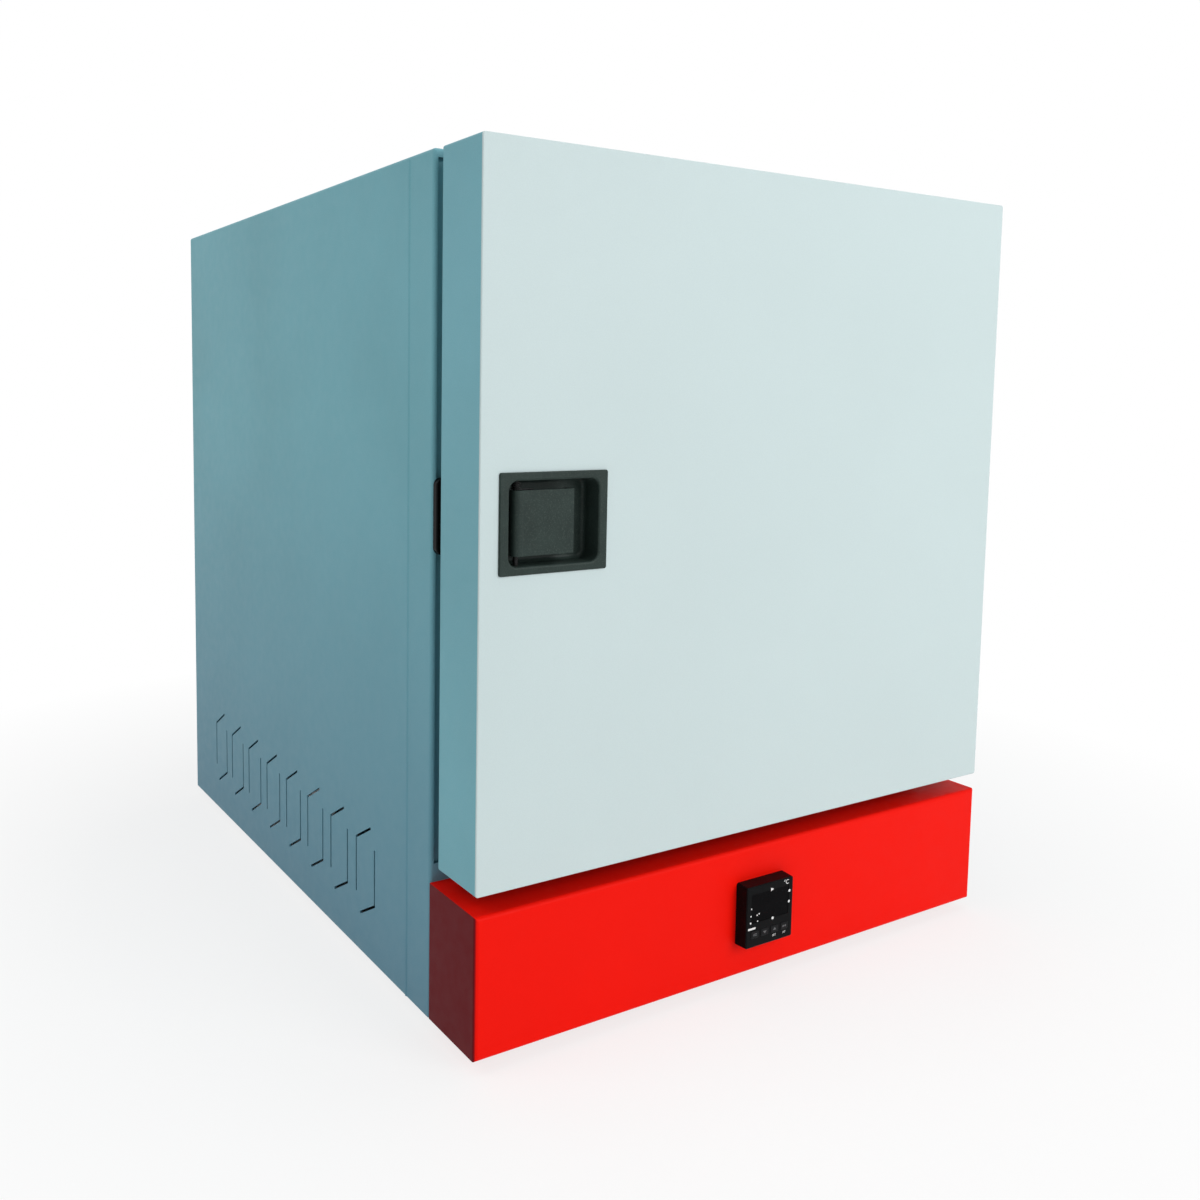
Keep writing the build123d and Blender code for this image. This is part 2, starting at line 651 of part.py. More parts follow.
# Stainless chamber: deep tank with a flange that laps the front frame
with BuildPart() as chamber:
    with BuildSketch(facing(FRAME_Y)):
        with Locations((0, DOOR_CZ)):
            RectangleRounded(TANK_W, TANK_H, TANK_R)
    extrude(amount=-(CHAMBER_D + LINER_T))
    with BuildSketch(facing(FRAME_Y)):
        with Locations((0, DOOR_CZ)):
            RectangleRounded(TANK_W + 2 * CHAMBER_FLANGE, TANK_H + 2 * CHAMBER_FLANGE, TANK_R)
    extrude(amount=LINER_T)
    with BuildSketch(facing(FRAME_Y - LINER_T)):
        with Locations((0, DOOR_CZ)):
            RectangleRounded(CHAMBER_W, CHAMBER_H, CHAMBER_R)
    extrude(amount=-(CHAMBER_D + LINER_T), mode=Mode.SUBTRACT)
    with BuildSketch(facing(CHAMBER_BACK)):
        with Locations((0, DOOR_CZ)):
            Circle(SHAFT_HOLE_R)
        with Locations(HEATER_PLACES):
            Circle(HEATER_TUBE_R + SCREW_SLACK)
        with Locations(PROBE_PLACE):
            Circle(PROBE_R + SCREW_SLACK)
        with Locations(DUCT_PLACE):
            Circle(DUCT_R - LINER_T)
    extrude(amount=-2 * LINER_T, mode=Mode.SUBTRACT)
finish_part(chamber, "chamber")

# Mineral wool jacket round the chamber
JACKET_R = 20.0
with BuildPart() as chamber_insulation:
    with BuildSketch(facing(FRAME_Y + SHEET)):
        with Locations((0, DOOR_CZ)):
            RectangleRounded(TANK_W + 2 * INSULATION_SIDE, TANK_H + 2 * INSULATION_SIDE, JACKET_R)
    extrude(amount=-(INSULATION_BACK - FRAME_Y - SHEET))
    with BuildSketch(facing(FRAME_Y + SHEET)):
        with Locations((0, DOOR_CZ)):
            RectangleRounded(TANK_W, TANK_H, TANK_R)
    extrude(amount=-(TANK_BACK - FRAME_Y - SHEET), mode=Mode.SUBTRACT)
    with BuildSketch(facing(TANK_BACK)):
        with Locations((0, DOOR_CZ)):
            Circle(SHAFT_HOLE_R)
        with Locations(HEATER_PLACES):
            Circle(HEATER_TUBE_R + SCREW_SLACK)
        with Locations(PROBE_PLACE):
            Circle(PROBE_R + SCREW_SLACK)
        with Locations(LEG_PLACES):
            Circle(LEG_R + SCREW_SLACK)
        with Locations(DUCT_PLACE):
            Circle(DUCT_R)
    extrude(amount=-INSULATION_REAR, mode=Mode.SUBTRACT)
finish_part(chamber_insulation, "chamber_insulation")

# Shelf runners: two posts a side with an angle at each shelf level
RUNNER_Y0 = FRAME_Y + RUNNER_SETBACK
RUNNER_L = BAFFLE_Y - RUNNER_BACK_GAP - RUNNER_Y0
RUNNER_CY = RUNNER_Y0 + RUNNER_L / 2
POST_SPREAD = RUNNER_L - 2 * POST_W
POST_TOP_GAP = 20.0
LEVEL_PITCH = CHAMBER_H / (LEVEL_COUNT + 1)
LEVELS = [CHAMBER_Z0 + LEVEL_PITCH * (i + 1) for i in range(LEVEL_COUNT)]
for side, runner_name in ((-1, "left_shelf_runners"), (1, "right_shelf_runners")):
    with BuildPart() as runners:
        with BuildSketch(sideways(side * CHAMBER_W / 2)):
            with Locations((RUNNER_CY, DOOR_CZ)):
                with GridLocations(POST_SPREAD, 0, 2, 1):
                    Rectangle(POST_W, CHAMBER_H - 2 * POST_TOP_GAP)
        extrude(amount=-side * SHEET)
        with BuildSketch(sideways(side * (CHAMBER_W / 2 - SHEET))):
            with Locations([(RUNNER_CY, z + (RUNNER_H - SHEET) / 2) for z in LEVELS]):
                Rectangle(RUNNER_L, RUNNER_H + SHEET)
        extrude(amount=-side * SHEET)
        with BuildSketch(sideways(side * (CHAMBER_W / 2 - SHEET))):
            with Locations([(RUNNER_CY, z - SHEET / 2) for z in LEVELS]):
                Rectangle(RUNNER_L, SHEET)
        extrude(amount=-side * RUNNER_W)
    finish_part(runners, runner_name)

# Wire shelves: a bent rod frame with wires welded across it
SHELF_W = CHAMBER_W - 4 * SHEET - 2 * SHELF_SIDE_GAP
SHELF_BACK = BAFFLE_Y - SHELF_STOP
SHELF_D = SHELF_BACK - PLUG_END - SHELF_FRONT_GAP
SHELF_CY = SHELF_BACK - SHELF_D / 2
ROD_W = SHELF_W - 2 * SHELF_ROD_R
ROD_D = SHELF_D - 2 * SHELF_ROD_R
WIRE_PITCH = ROD_W / (SHELF_WIRES + 1)
CROSS_L = WIRE_PITCH * (SHELF_WIRES - 1) + 4 * SHELF_WIRE_R
SHELF_CORNER_R = 12.0
for shelf_level, shelf_name in SHELF_LEVELS.items():
    rod_z = LEVELS[shelf_level - 1] + SHELF_ROD_R + RUNNER_LIFT
    with BuildSketch(level(rod_z)) as shelf_outline:
        with Locations((0, SHELF_CY)):
            RectangleRounded(ROD_W, ROD_D, SHELF_CORNER_R)
    rod_path = shelf_outline.sketch.faces()[0].outer_wire()
    with BuildPart() as shelf:
        with BuildSketch(Plane(origin=rod_path @ 0, z_dir=rod_path % 0)):
            Circle(SHELF_ROD_R)
        sweep(path=rod_path)
        with BuildSketch(facing(SHELF_CY - ROD_D / 2)):
            with Locations((0, rod_z)):
                with GridLocations(WIRE_PITCH, 0, SHELF_WIRES, 1):
                    Circle(SHELF_WIRE_R)
        extrude(amount=-ROD_D)
        with BuildSketch(sideways(-CROSS_L / 2)):
            with Locations((SHELF_CY, rod_z - 2 * SHELF_WIRE_R + WELD_SINK)):
                Circle(SHELF_WIRE_R)
        extrude(amount=CROSS_L)
    finish_part(shelf, shelf_name)

# Air baffle: tray in front of the fan, drawn in at the middle and blowing out at the sides
TRAY_W = CHAMBER_W - 2 * TRAY_INSET
TRAY_H = CHAMBER_H - 2 * TRAY_INSET
EYE_SLOTS = 8
EYE_SLOT_PLACE = 38.0
EYE_SLOT_L = 36.0
SIDE_SLOTS = 6
SIDE_SLOT_L = 30.0
AIR_SLOT_W = 7.0
with BuildPart() as air_baffle:
    with BuildSketch(facing(BAFFLE_Y)):
        with Locations((0, DOOR_CZ)):
            RectangleRounded(TRAY_W, TRAY_H, CHAMBER_R)
    extrude(amount=-PLENUM)
    with BuildSketch(facing(BAFFLE_Y + LINER_T)):
        with Locations((0, DOOR_CZ)):
            RectangleRounded(TRAY_W - 2 * LINER_T, TRAY_H - 2 * LINER_T, CHAMBER_R - LINER_T)
    extrude(amount=-PLENUM, mode=Mode.SUBTRACT)
    with BuildSketch(facing(BAFFLE_Y)):
        with Locations((0, DOOR_CZ)):
            with PolarLocations(EYE_SLOT_PLACE, EYE_SLOTS):
                SlotOverall(EYE_SLOT_L, AIR_SLOT_W)
        with Locations(PROBE_PLACE):
            Circle(PROBE_R + SCREW_SLACK)
    extrude(amount=-2 * LINER_T, mode=Mode.SUBTRACT)
    with BuildSketch(sideways(0)):
        with Locations((BAFFLE_Y + PLENUM / 2, DOOR_CZ)):
            with GridLocations(0, TRAY_H / (SIDE_SLOTS + 1), 1, SIDE_SLOTS):
                SlotOverall(SIDE_SLOT_L, AIR_SLOT_W)
    extrude(amount=CHAMBER_W / 2, both=True, mode=Mode.SUBTRACT)
finish_part(air_baffle, "air_baffle")

# Ring heater round the fan, its two ends led out through the back wall
HEATER_Y = CHAMBER_BACK - PLENUM / 2
HEATER_TAIL = 8.0
with BuildLine(facing(HEATER_Y)) as heater_line:
    CenterArc((0, DOOR_CZ), HEATER_R, -90 + HEATER_GAP_ANGLE, 360 - 2 * HEATER_GAP_ANGLE)
heater_path = heater_line.wires()[0]
with BuildPart() as heater_element:
    with BuildSketch(Plane(origin=heater_path @ 0, z_dir=heater_path % 0)):
        Circle(HEATER_TUBE_R)
    sweep(path=heater_path)
    with BuildSketch(facing(HEATER_Y)):
        with Locations(HEATER_PLACES):
            Circle(HEATER_TUBE_R)
    extrude(amount=-(INSULATION_BACK + HEATER_TAIL - HEATER_Y))
    with Locations([(x, HEATER_Y, z) for x, z in HEATER_PLACES]):
        Sphere(HEATER_TUBE_R)
finish_part(heater_element, "heater_element")

# Fan: radial wheel on a long shaft, motor on a bracket behind the insulation
FAN_BACK = CHAMBER_BACK - FAN_GAP
FAN_FRONT = FAN_BACK - FAN_L
BLADE_PLACE = FAN_R - BLADE_L / 2 - 2.0
BRACKET_Y = INSULATION_BACK
MOTOR_Y = BRACKET_Y + BRACKET_T
MOTOR_BORE = 14.0
BELL_R = MOTOR_R - 6.0
BELL_L = 10.0
with BuildPart() as fan_impeller:
    with BuildSketch(facing(FAN_BACK)):
        with Locations((0, DOOR_CZ)):
            Circle(FAN_R)
    extrude(amount=BLADE_T)
    with BuildSketch(facing(FAN_BACK - BLADE_T)):
        with Locations((0, DOOR_CZ)):
            with PolarLocations(BLADE_PLACE, BLADE_COUNT):
                Rectangle(BLADE_L, BLADE_T, rotation=BLADE_LEAN)
    extrude(amount=FAN_L - 2 * BLADE_T)
    with BuildSketch(facing(FAN_FRONT + BLADE_T)):
        with Locations((0, DOOR_CZ)):
            Circle(FAN_R)
            Circle(FAN_R - BLADE_L + 4.0, mode=Mode.SUBTRACT)
    extrude(amount=BLADE_T)
    with BuildSketch(facing(FAN_BACK)):
        with Locations((0, DOOR_CZ)):
            Circle(HUB_R)
    extrude(amount=FAN_L / 2)
    with BuildSketch(facing(FAN_BACK)):
        with Locations((0, DOOR_CZ)):
            Circle(SHAFT_R + RUN)
    extrude(amount=FAN_L, mode=Mode.SUBTRACT)
finish_part(fan_impeller, "fan_impeller")

SHAFT_FRONT = FAN_BACK - FAN_L / 2 - 3.0
with BuildPart() as fan_shaft:
    with BuildSketch(facing(SHAFT_FRONT)):
        with Locations((0, DOOR_CZ)):
            Circle(SHAFT_R)
    extrude(amount=-(MOTOR_Y + MOTOR_BORE - 2.0 - SHAFT_FRONT))
    chamfer(fan_shaft.edges().filter_by(GeomType.CIRCLE), 0.6)
finish_part(fan_shaft, "fan_shaft")

with BuildPart() as motor_bracket:
    with BuildSketch(facing(BRACKET_Y)):
        with Locations((0, DOOR_CZ)):
            RectangleRounded(BRACKET_W, BRACKET_W, 8)
            Circle(SHAFT_HOLE_R, mode=Mode.SUBTRACT)
    extrude(amount=-BRACKET_T)
    with BuildSketch(facing(BRACKET_Y)):
        with Locations(LEG_PLACES):
            Circle(LEG_R)
    extrude(amount=INSULATION_REAR)
finish_part(motor_bracket, "motor_bracket")

with BuildPart() as fan_motor:
    with BuildSketch(facing(MOTOR_Y)):
        with Locations((0, DOOR_CZ)):
            Circle(BELL_R)
    extrude(amount=-MOTOR_L)
    with BuildSketch(facing(MOTOR_Y + BELL_L)):
        with Locations((0, DOOR_CZ)):
            RectangleRounded(2 * MOTOR_R, 2 * MOTOR_R, MOTOR_R / 3)
    extrude(amount=-(MOTOR_L - 2 * BELL_L))
    with BuildSketch(facing(MOTOR_Y)):
        with Locations((0, DOOR_CZ)):
            Circle(SHAFT_R + RUN)
    extrude(amount=-MOTOR_BORE, mode=Mode.SUBTRACT)
finish_part(fan_motor, "fan_motor")

# Temperature probe through the back wall and the baffle
PROBE_TAIL = 12.0
with BuildPart() as temperature_probe:
    with BuildSketch(facing(BAFFLE_Y - PROBE_REACH)):
        with Locations(PROBE_PLACE):
            Circle(PROBE_R)
    extrude(amount=-(INSULATION_BACK + PROBE_TAIL - BAFFLE_Y + PROBE_REACH))
    fillet(temperature_probe.faces().sort_by(Axis.Y)[0].edges(), PROBE_R * 0.8)
    with BuildSketch(facing(INSULATION_BACK)):
        with Locations(PROBE_PLACE):
            RegularPolygon(2.4 * PROBE_R, 6)
    extrude(amount=-PROBE_TAIL / 2)
finish_part(temperature_probe, "temperature_probe")

# Exhaust duct to the rear cover, with a turning shutter over its holes
with BuildPart() as exhaust_duct:
    with BuildSketch(facing(TANK_BACK)):
        with Locations(DUCT_PLACE):
            Circle(DUCT_R)
            Circle(DUCT_R - LINER_T, mode=Mode.SUBTRACT)
    extrude(amount=-(COVER_Y - TANK_BACK))
finish_part(exhaust_duct, "exhaust_duct")

KNOB_PLACE = SHUTTER_R - KNOB_R - 2.0
with BuildPart() as vent_shutter:
    with BuildSketch(facing(SHUTTER_Y)):
        with Locations(DUCT_PLACE):
            Circle(SHUTTER_R)
            Circle(SHUTTER_PIN_R + RUN, mode=Mode.SUBTRACT)
            with PolarLocations(SHUTTER_HOLE_PLACE, SHUTTER_HOLES):
                Circle(SHUTTER_HOLE_R, mode=Mode.SUBTRACT)
    extrude(amount=-SHUTTER_T)
    with BuildSketch(facing(SHUTTER_Y + SHUTTER_T)):
        with Locations((DUCT_PLACE[0] - KNOB_PLACE, DUCT_PLACE[1])):
            Circle(KNOB_R)
    extrude(amount=-KNOB_L)
    chamfer(vent_shutter.faces().sort_by(Axis.Y)[-1].edges(), 0.8)
finish_part(vent_shutter, "vent_shutter")

RIVET_R = 2 * SHUTTER_PIN_R
RIVET_HEAD = 1.5
with BuildPart() as shutter_pin:
    with BuildSketch(facing(COVER_Y)):
        with Locations(DUCT_PLACE):
            Circle(SHUTTER_PIN_R)
    extrude(amount=-(SHUTTER_Y + SHUTTER_T + RUNNER_LIFT - COVER_Y))
    with BuildSketch(facing(SHUTTER_Y + SHUTTER_T + RUNNER_LIFT)):
        with Locations(DUCT_PLACE):
            Circle(RIVET_R)
    extrude(amount=-RIVET_HEAD)
    fillet(shutter_pin.faces().sort_by(Axis.Y)[-1].edges(), RIVET_HEAD * 0.6)
    with BuildSketch(facing(COVER_Y)):
        with Locations(DUCT_PLACE):
            Circle(RIVET_R)
    extrude(amount=RIVET_HEAD)
finish_part(shutter_pin, "shutter_pin")

# Heat sink with the relay that switches the heater, and the terminal block
SINK_Z = FLOOR_Z + SHEET
SINK_BASE = 6.0
with BuildPart() as heat_sink:
    with BuildSketch(level(SINK_Z + SINK_H - SINK_BASE)):
        with Locations((SINK_X, SINK_Y)):
            Rectangle(SINK_W, SINK_L)
    extrude(amount=SINK_BASE)
    with BuildSketch(level(SINK_Z)):
        with Locations((SINK_X, SINK_Y)):
            with GridLocations((SINK_W - FIN_T) / (SINK_FINS - 1), 0, SINK_FINS, 1):
                Rectangle(FIN_T, SINK_L)
    extrude(amount=SINK_H - SINK_BASE)
finish_part(heat_sink, "heat_sink")

RELAY_Z = SINK_Z + SINK_H
TERMINAL_W = 12.0
with BuildPart() as solid_state_relay:
    with BuildSketch(level(RELAY_Z)):
        with Locations((SINK_X, SINK_Y)):
            RectangleRounded(RELAY_W, RELAY_L, 2)
    extrude(amount=RELAY_H)
    with BuildSketch(level(RELAY_Z + RELAY_H)):
        with Locations((SINK_X, SINK_Y)):
            with GridLocations(RELAY_W / 2, RELAY_L - TERMINAL_W, 2, 2):
                Rectangle(TERMINAL_W, TERMINAL_W)
    extrude(amount=-RELAY_H / 2, mode=Mode.SUBTRACT)
    with BuildSketch(level(RELAY_Z + RELAY_H / 2)):
        with Locations((SINK_X, SINK_Y)):
            with GridLocations(RELAY_W / 2, RELAY_L - TERMINAL_W, 2, 2):
                Circle(HEAD_R)
    extrude(amount=HEAD_H)
finish_part(solid_state_relay, "solid_state_relay")

BLOCK_WAYS = 6
WIRE_HOLE_R = 2.2
with BuildPart() as terminal_block:
    with BuildSketch(sideways(BLOCK_X - BLOCK_W / 2)):
        with Locations((BLOCK_Y, SINK_Z)):
            Rectangle(BLOCK_L, BLOCK_H / 2, align=(Align.CENTER, Align.MIN))
            Rectangle(BLOCK_L / 2, BLOCK_H, align=(Align.CENTER, Align.MIN))
    extrude(amount=BLOCK_W)
    with BuildSketch(level(SINK_Z + BLOCK_H)):
        with Locations((BLOCK_X, BLOCK_Y)):
            with GridLocations(BLOCK_W / BLOCK_WAYS, 0, BLOCK_WAYS, 1):
                Circle(WIRE_HOLE_R + 1)
    extrude(amount=-BLOCK_H / 3, mode=Mode.SUBTRACT)
    with BuildSketch(facing(BLOCK_Y + BLOCK_L)):
        with Locations((BLOCK_X, SINK_Z + BLOCK_H / 4)):
            with GridLocations(BLOCK_W / BLOCK_WAYS, 0, BLOCK_WAYS, 1):
                Circle(WIRE_HOLE_R)
    extrude(amount=2 * BLOCK_L, mode=Mode.SUBTRACT)
finish_part(terminal_block, "terminal_block")

# Power inlet: socket, fuse and switch in one frame in the rear cover
SOCKET_Z = INLET_Z - SOCKET_DROP
SOCKET_CORNER = 4.0
FUSE_Z = INLET_Z + 2.5
FUSE_DEPTH = 15.0
ROCKER_Z = INLET_Z + ROCKER_LIFT
ROCKER_Y = BODY_BACK + 0.5
ROCKER_POCKET = 9.0
STUB_L = 2.0
RIM_Y = BODY_BACK + INLET_RIM_T
INLET_PIN_W = 2.0
INLET_PIN_H = 4.0
INLET_PIN_SPREAD = 7.0
PIN_TAIL = 8.0
INLET_PIN_PLACES = [
    (INLET_X - INLET_PIN_SPREAD, SOCKET_Z - 2),
    (INLET_X, SOCKET_Z + 2),
    (INLET_X + INLET_PIN_SPREAD, SOCKET_Z - 2),
]
with BuildPart() as power_inlet:
    with BuildSketch(facing(BODY_BACK)):
        with Locations((INLET_X, INLET_Z)):
            Rectangle(INLET_W, INLET_H)
    extrude(amount=INLET_L)
    with BuildSketch(facing(BODY_BACK)):
        with Locations((INLET_X, INLET_Z)):
            RectangleRounded(INLET_W + 2 * INLET_RIM, INLET_H + 2 * INLET_RIM, INLET_RIM)
    extrude(amount=-INLET_RIM_T)
    fillet(power_inlet.faces().sort_by(Axis.Y)[-1].edges(), INLET_RIM_T / 2)
    with BuildSketch(facing(RIM_Y)) as socket_shape:
        with Locations((INLET_X, SOCKET_Z)):
            Rectangle(SOCKET_W, SOCKET_H)
        chamfer(socket_shape.vertices().sort_by(Axis.Y)[-2:], SOCKET_CORNER)
    extrude(amount=SOCKET_DEPTH, mode=Mode.SUBTRACT)
    with BuildSketch(facing(RIM_Y)):
        with Locations((INLET_X, FUSE_Z)):
            Rectangle(FUSE_W, FUSE_H)
    extrude(amount=FUSE_DEPTH, mode=Mode.SUBTRACT)
    with BuildSketch(facing(RIM_Y)):
        with Locations((INLET_X, ROCKER_Z)):
            Rectangle(ROCKER_W + 2 * FIT, ROCKER_H + 2 * FIT)
    extrude(amount=ROCKER_POCKET, mode=Mode.SUBTRACT)
    with BuildSketch(sideways(INLET_X)):
        with Locations((ROCKER_Y, ROCKER_Z)):
            Circle(ROCKER_PIN_R + RUN)
    extrude(amount=ROCKER_W / 2 + FIT + STUB_L, both=True, mode=Mode.SUBTRACT)
    with BuildSketch(facing(RIM_Y)):
        with Locations(INLET_PIN_PLACES):
            Rectangle(INLET_PIN_W, INLET_PIN_H)
    extrude(amount=INLET_RIM_T + INLET_L, mode=Mode.SUBTRACT)
finish_part(power_inlet, "power_inlet")

with BuildPart() as inlet_pins:
    with BuildSketch(facing(RIM_Y - INLET_PIN_W)):
        with Locations(INLET_PIN_PLACES):
            Rectangle(INLET_PIN_W, INLET_PIN_H)
    extrude(amount=INLET_L + PIN_TAIL)
    pin_tips = inlet_pins.faces().sort_by(Axis.Y)[-len(INLET_PIN_PLACES) :]
    chamfer(pin_tips.edges(), INLET_PIN_W / 4)
finish_part(inlet_pins, "inlet_pins")

with BuildPart() as fuse_carrier:
    with BuildSketch(facing(RIM_Y + SHEET)):
        with Locations((INLET_X, FUSE_Z)):
            Rectangle(FUSE_W - 2 * SCREW_SLACK, FUSE_H - 2 * SCREW_SLACK)
    extrude(amount=FUSE_DEPTH)
    fillet(fuse_carrier.faces().sort_by(Axis.Y)[-1].edges(), SHEET / 2)
    with BuildSketch(facing(RIM_Y + SHEET)):
        with Locations((INLET_X, FUSE_Z + FUSE_H / 2)):
            Rectangle(FUSE_W / 3, FUSE_H / 3)
    extrude(amount=2 * SHEET, mode=Mode.SUBTRACT)
finish_part(fuse_carrier, "fuse_carrier")

rocker_lean = math.radians(-ROCKER_TILT)
ROCKER_R = ROCKER_H / 2
ROCKER_CROWN = 2.2
ROCKER_END = ROCKER_CROWN + ROCKER_R * math.tan(math.radians(ROCKER_TILT))
rocker_plane = Plane(
    origin=(INLET_X - ROCKER_W / 2, ROCKER_Y, ROCKER_Z),
    x_dir=(0, math.cos(rocker_lean), math.sin(rocker_lean)),
    z_dir=(1, 0, 0),
)
with BuildPart() as power_rocker:
    with BuildSketch(rocker_plane):
        with BuildLine():
            Polyline(
                (0, ROCKER_R),
                (ROCKER_END, ROCKER_R),
                (ROCKER_CROWN, 0),
                (ROCKER_END, -ROCKER_R),
                (0, -ROCKER_R),
            )
            ThreePointArc((0, -ROCKER_R), (-ROCKER_R, 0), (0, ROCKER_R))
        make_face()
    extrude(amount=ROCKER_W)
    with BuildSketch(sideways(INLET_X)):
        with Locations((ROCKER_Y, ROCKER_Z)):
            Circle(ROCKER_PIN_R)
    extrude(amount=ROCKER_W / 2 + STUB_L, both=True)
finish_part(power_rocker, "power_rocker")

# Hinges: two pairs of leaves rolled round pins that stand on the door's side
KNUCKLE_L = HINGE_L / 3
KNUCKLE_GAP = 0.3
PIN_SEAT = 0.02
LEAF_START = KNUCKLE_R + 1.0
LEAF_W = LEAF_REACH - LEAF_START
LEAF_CORNER_R = 3.0
for turn, leaf_name, knuckles, bore_r in (
    (1, "body_hinge_leaves", (-1, 1), PIN_R + RUN),
    (-1, "door_hinge_leaves", (0,), PIN_R + PIN_SEAT),
):
    leaf_y = HINGE_Y + turn * (LEAF_START + LEAF_W / 2)
    with BuildPart() as leaves:
        for hinge_z in HINGE_Z:
            with BuildSketch(sideways(HALF_W)) as leaf_shape:
                with Locations((leaf_y, hinge_z)):
                    Rectangle(LEAF_W, HINGE_L)
                fillet(leaf_shape.vertices().sort_by(Axis.X, reverse=turn < 0)[-2:], LEAF_CORNER_R)
            extrude(amount=LEAF_T)
            for knuckle in knuckles:
                with BuildSketch(level(hinge_z + (knuckle - 0.5) * KNUCKLE_L + KNUCKLE_GAP / 2)):
                    with Locations((HINGE_X, HINGE_Y)):
                        Circle(KNUCKLE_R)
                    with Locations((HALF_W + LEAF_T / 2, HINGE_Y + turn * KNUCKLE_R / 2)):
                        Rectangle(LEAF_T, KNUCKLE_R + 2)
                extrude(amount=KNUCKLE_L - KNUCKLE_GAP)
        with BuildSketch(level(0)):
            with Locations((HINGE_X, HINGE_Y)):
                Circle(bore_r)
        extrude(amount=TOP_Z, mode=Mode.SUBTRACT)
        with BuildSketch(sideways(HALF_W)):
            with Locations([(HINGE_Y + turn * LEAF_SCREW_Y, z) for z in LEAF_SCREWS]):
                Circle(SCREW_R + SCREW_SLACK)
        extrude(amount=2 * LEAF_T, mode=Mode.SUBTRACT)
    finish_part(leaves, leaf_name)

for turn, screw_name in ((1, "body_hinge_screws"), (-1, "door_hinge_screws")):
    with BuildPart() as hinge_screws:
        with BuildSketch(sideways(HALF_W + LEAF_T)):
            with Locations([(HINGE_Y + turn * LEAF_SCREW_Y, z) for z in LEAF_SCREWS]):
                Circle(HEAD_R)
        extrude(amount=HEAD_H)
        fillet(hinge_screws.faces().group_by(Axis.X)[-1].edges(), HEAD_H / 2)
        with BuildSketch(sideways(HALF_W + LEAF_T)):
            with Locations([(HINGE_Y + turn * LEAF_SCREW_Y, z) for z in LEAF_SCREWS]):
                Circle(SCREW_R)
        extrude(amount=-SCREW_L)
    finish_part(hinge_screws, screw_name)

with BuildPart() as hinge_pins:
    for hinge_z in HINGE_Z:
        pin_end = HINGE_L / 2 + KNUCKLE_GAP / 2
        with BuildSketch(level(hinge_z - pin_end)):
            with Locations((HINGE_X, HINGE_Y)):
                Circle(PIN_R)
        extrude(amount=2 * pin_end)
        for end in (-1, 1):
            with BuildSketch(level(hinge_z + end * pin_end)):
                with Locations((HINGE_X, HINGE_Y)):
                    Circle(PIN_HEAD_R)
            extrude(amount=end * PIN_HEAD_H)
finish_part(hinge_pins, "hinge_pins")

# Door: pale front skin on a folded shell, insulated, with a stainless liner behind
PAN_HOLE_W = DISH_W + 2 * PAN_WALL + FIT
PAN_HOLE_H = DISH_H + 2 * PAN_WALL + FIT
PAN_HOLE_R = DISH_R + PAN_WALL
SHELL_OPENING = LINER_W - 2 * SEAM_OVERLAP
BOLT_SLOT_H = BOLT_H + 2.0
with BuildPart() as door_skin:
    with BuildSketch(facing(SHELL_FRONT)):
        with Locations((0, DOOR_CZ)):
            RectangleRounded(BODY_W, DOOR_H, DOOR_CORNER_R)
    extrude(amount=SKIN)
    fillet(door_skin.faces().sort_by(Axis.Y)[0].edges(), SKIN_EDGE_R)
    with BuildSketch(facing(DOOR_FRONT)):
        with Locations((LATCH_X, DOOR_CZ)):
            RectangleRounded(PAN_HOLE_W, PAN_HOLE_H, PAN_HOLE_R)
    extrude(amount=-2 * SKIN, mode=Mode.SUBTRACT)
finish_part(door_skin, "door_skin")

with BuildPart() as door_shell:
    with BuildSketch(facing(SHELL_FRONT)):
        with Locations((0, DOOR_CZ)):
            RectangleRounded(BODY_W, DOOR_H, DOOR_CORNER_R)
    extrude(amount=-(DOOR_BACK - SHELL_FRONT))
    with BuildSketch(facing(SHELL_FRONT + SHEET)):
        with Locations((0, DOOR_CZ)):
            Rectangle(BODY_W - 2 * SHEET, DOOR_H - 2 * SHEET)
    extrude(amount=-(DOOR_BACK - SHELL_FRONT - 2 * SHEET), mode=Mode.SUBTRACT)
    with BuildSketch(facing(DOOR_BACK)):
        with Locations((0, DOOR_CZ)):
            Rectangle(SHELL_OPENING, SHELL_OPENING)
        with Locations(((NOSE_X + MOUTH_X1) / 2, DOOR_CZ)):
            Rectangle(MOUTH_X1 - NOSE_X + 2.0, BOLT_SLOT_H)
        with Locations((0, DOOR_CZ)):
            with GridLocations(LINER_W - SEAM_OVERLAP, (LINER_H - SEAM_OVERLAP) / 2, 2, 3):
                Circle(SCREW_R + SCREW_SLACK)
            with GridLocations(1, LINER_H - SEAM_OVERLAP, 1, 2):
                Circle(SCREW_R + SCREW_SLACK)
    extrude(amount=2 * SHEET, mode=Mode.SUBTRACT)
    with BuildSketch(facing(SHELL_FRONT)):
        with Locations((LATCH_X, DOOR_CZ)):
            RectangleRounded(PAN_HOLE_W, PAN_HOLE_H, PAN_HOLE_R)
    extrude(amount=-2 * SHEET, mode=Mode.SUBTRACT)
    with BuildSketch(sideways(HALF_W)):
        with Locations([(HINGE_Y - LEAF_SCREW_Y, z) for z in LEAF_SCREWS]):
            Circle(SCREW_R + SCREW_SLACK)
    extrude(amount=-2 * SHEET, mode=Mode.SUBTRACT)
finish_part(door_shell, "door_shell")

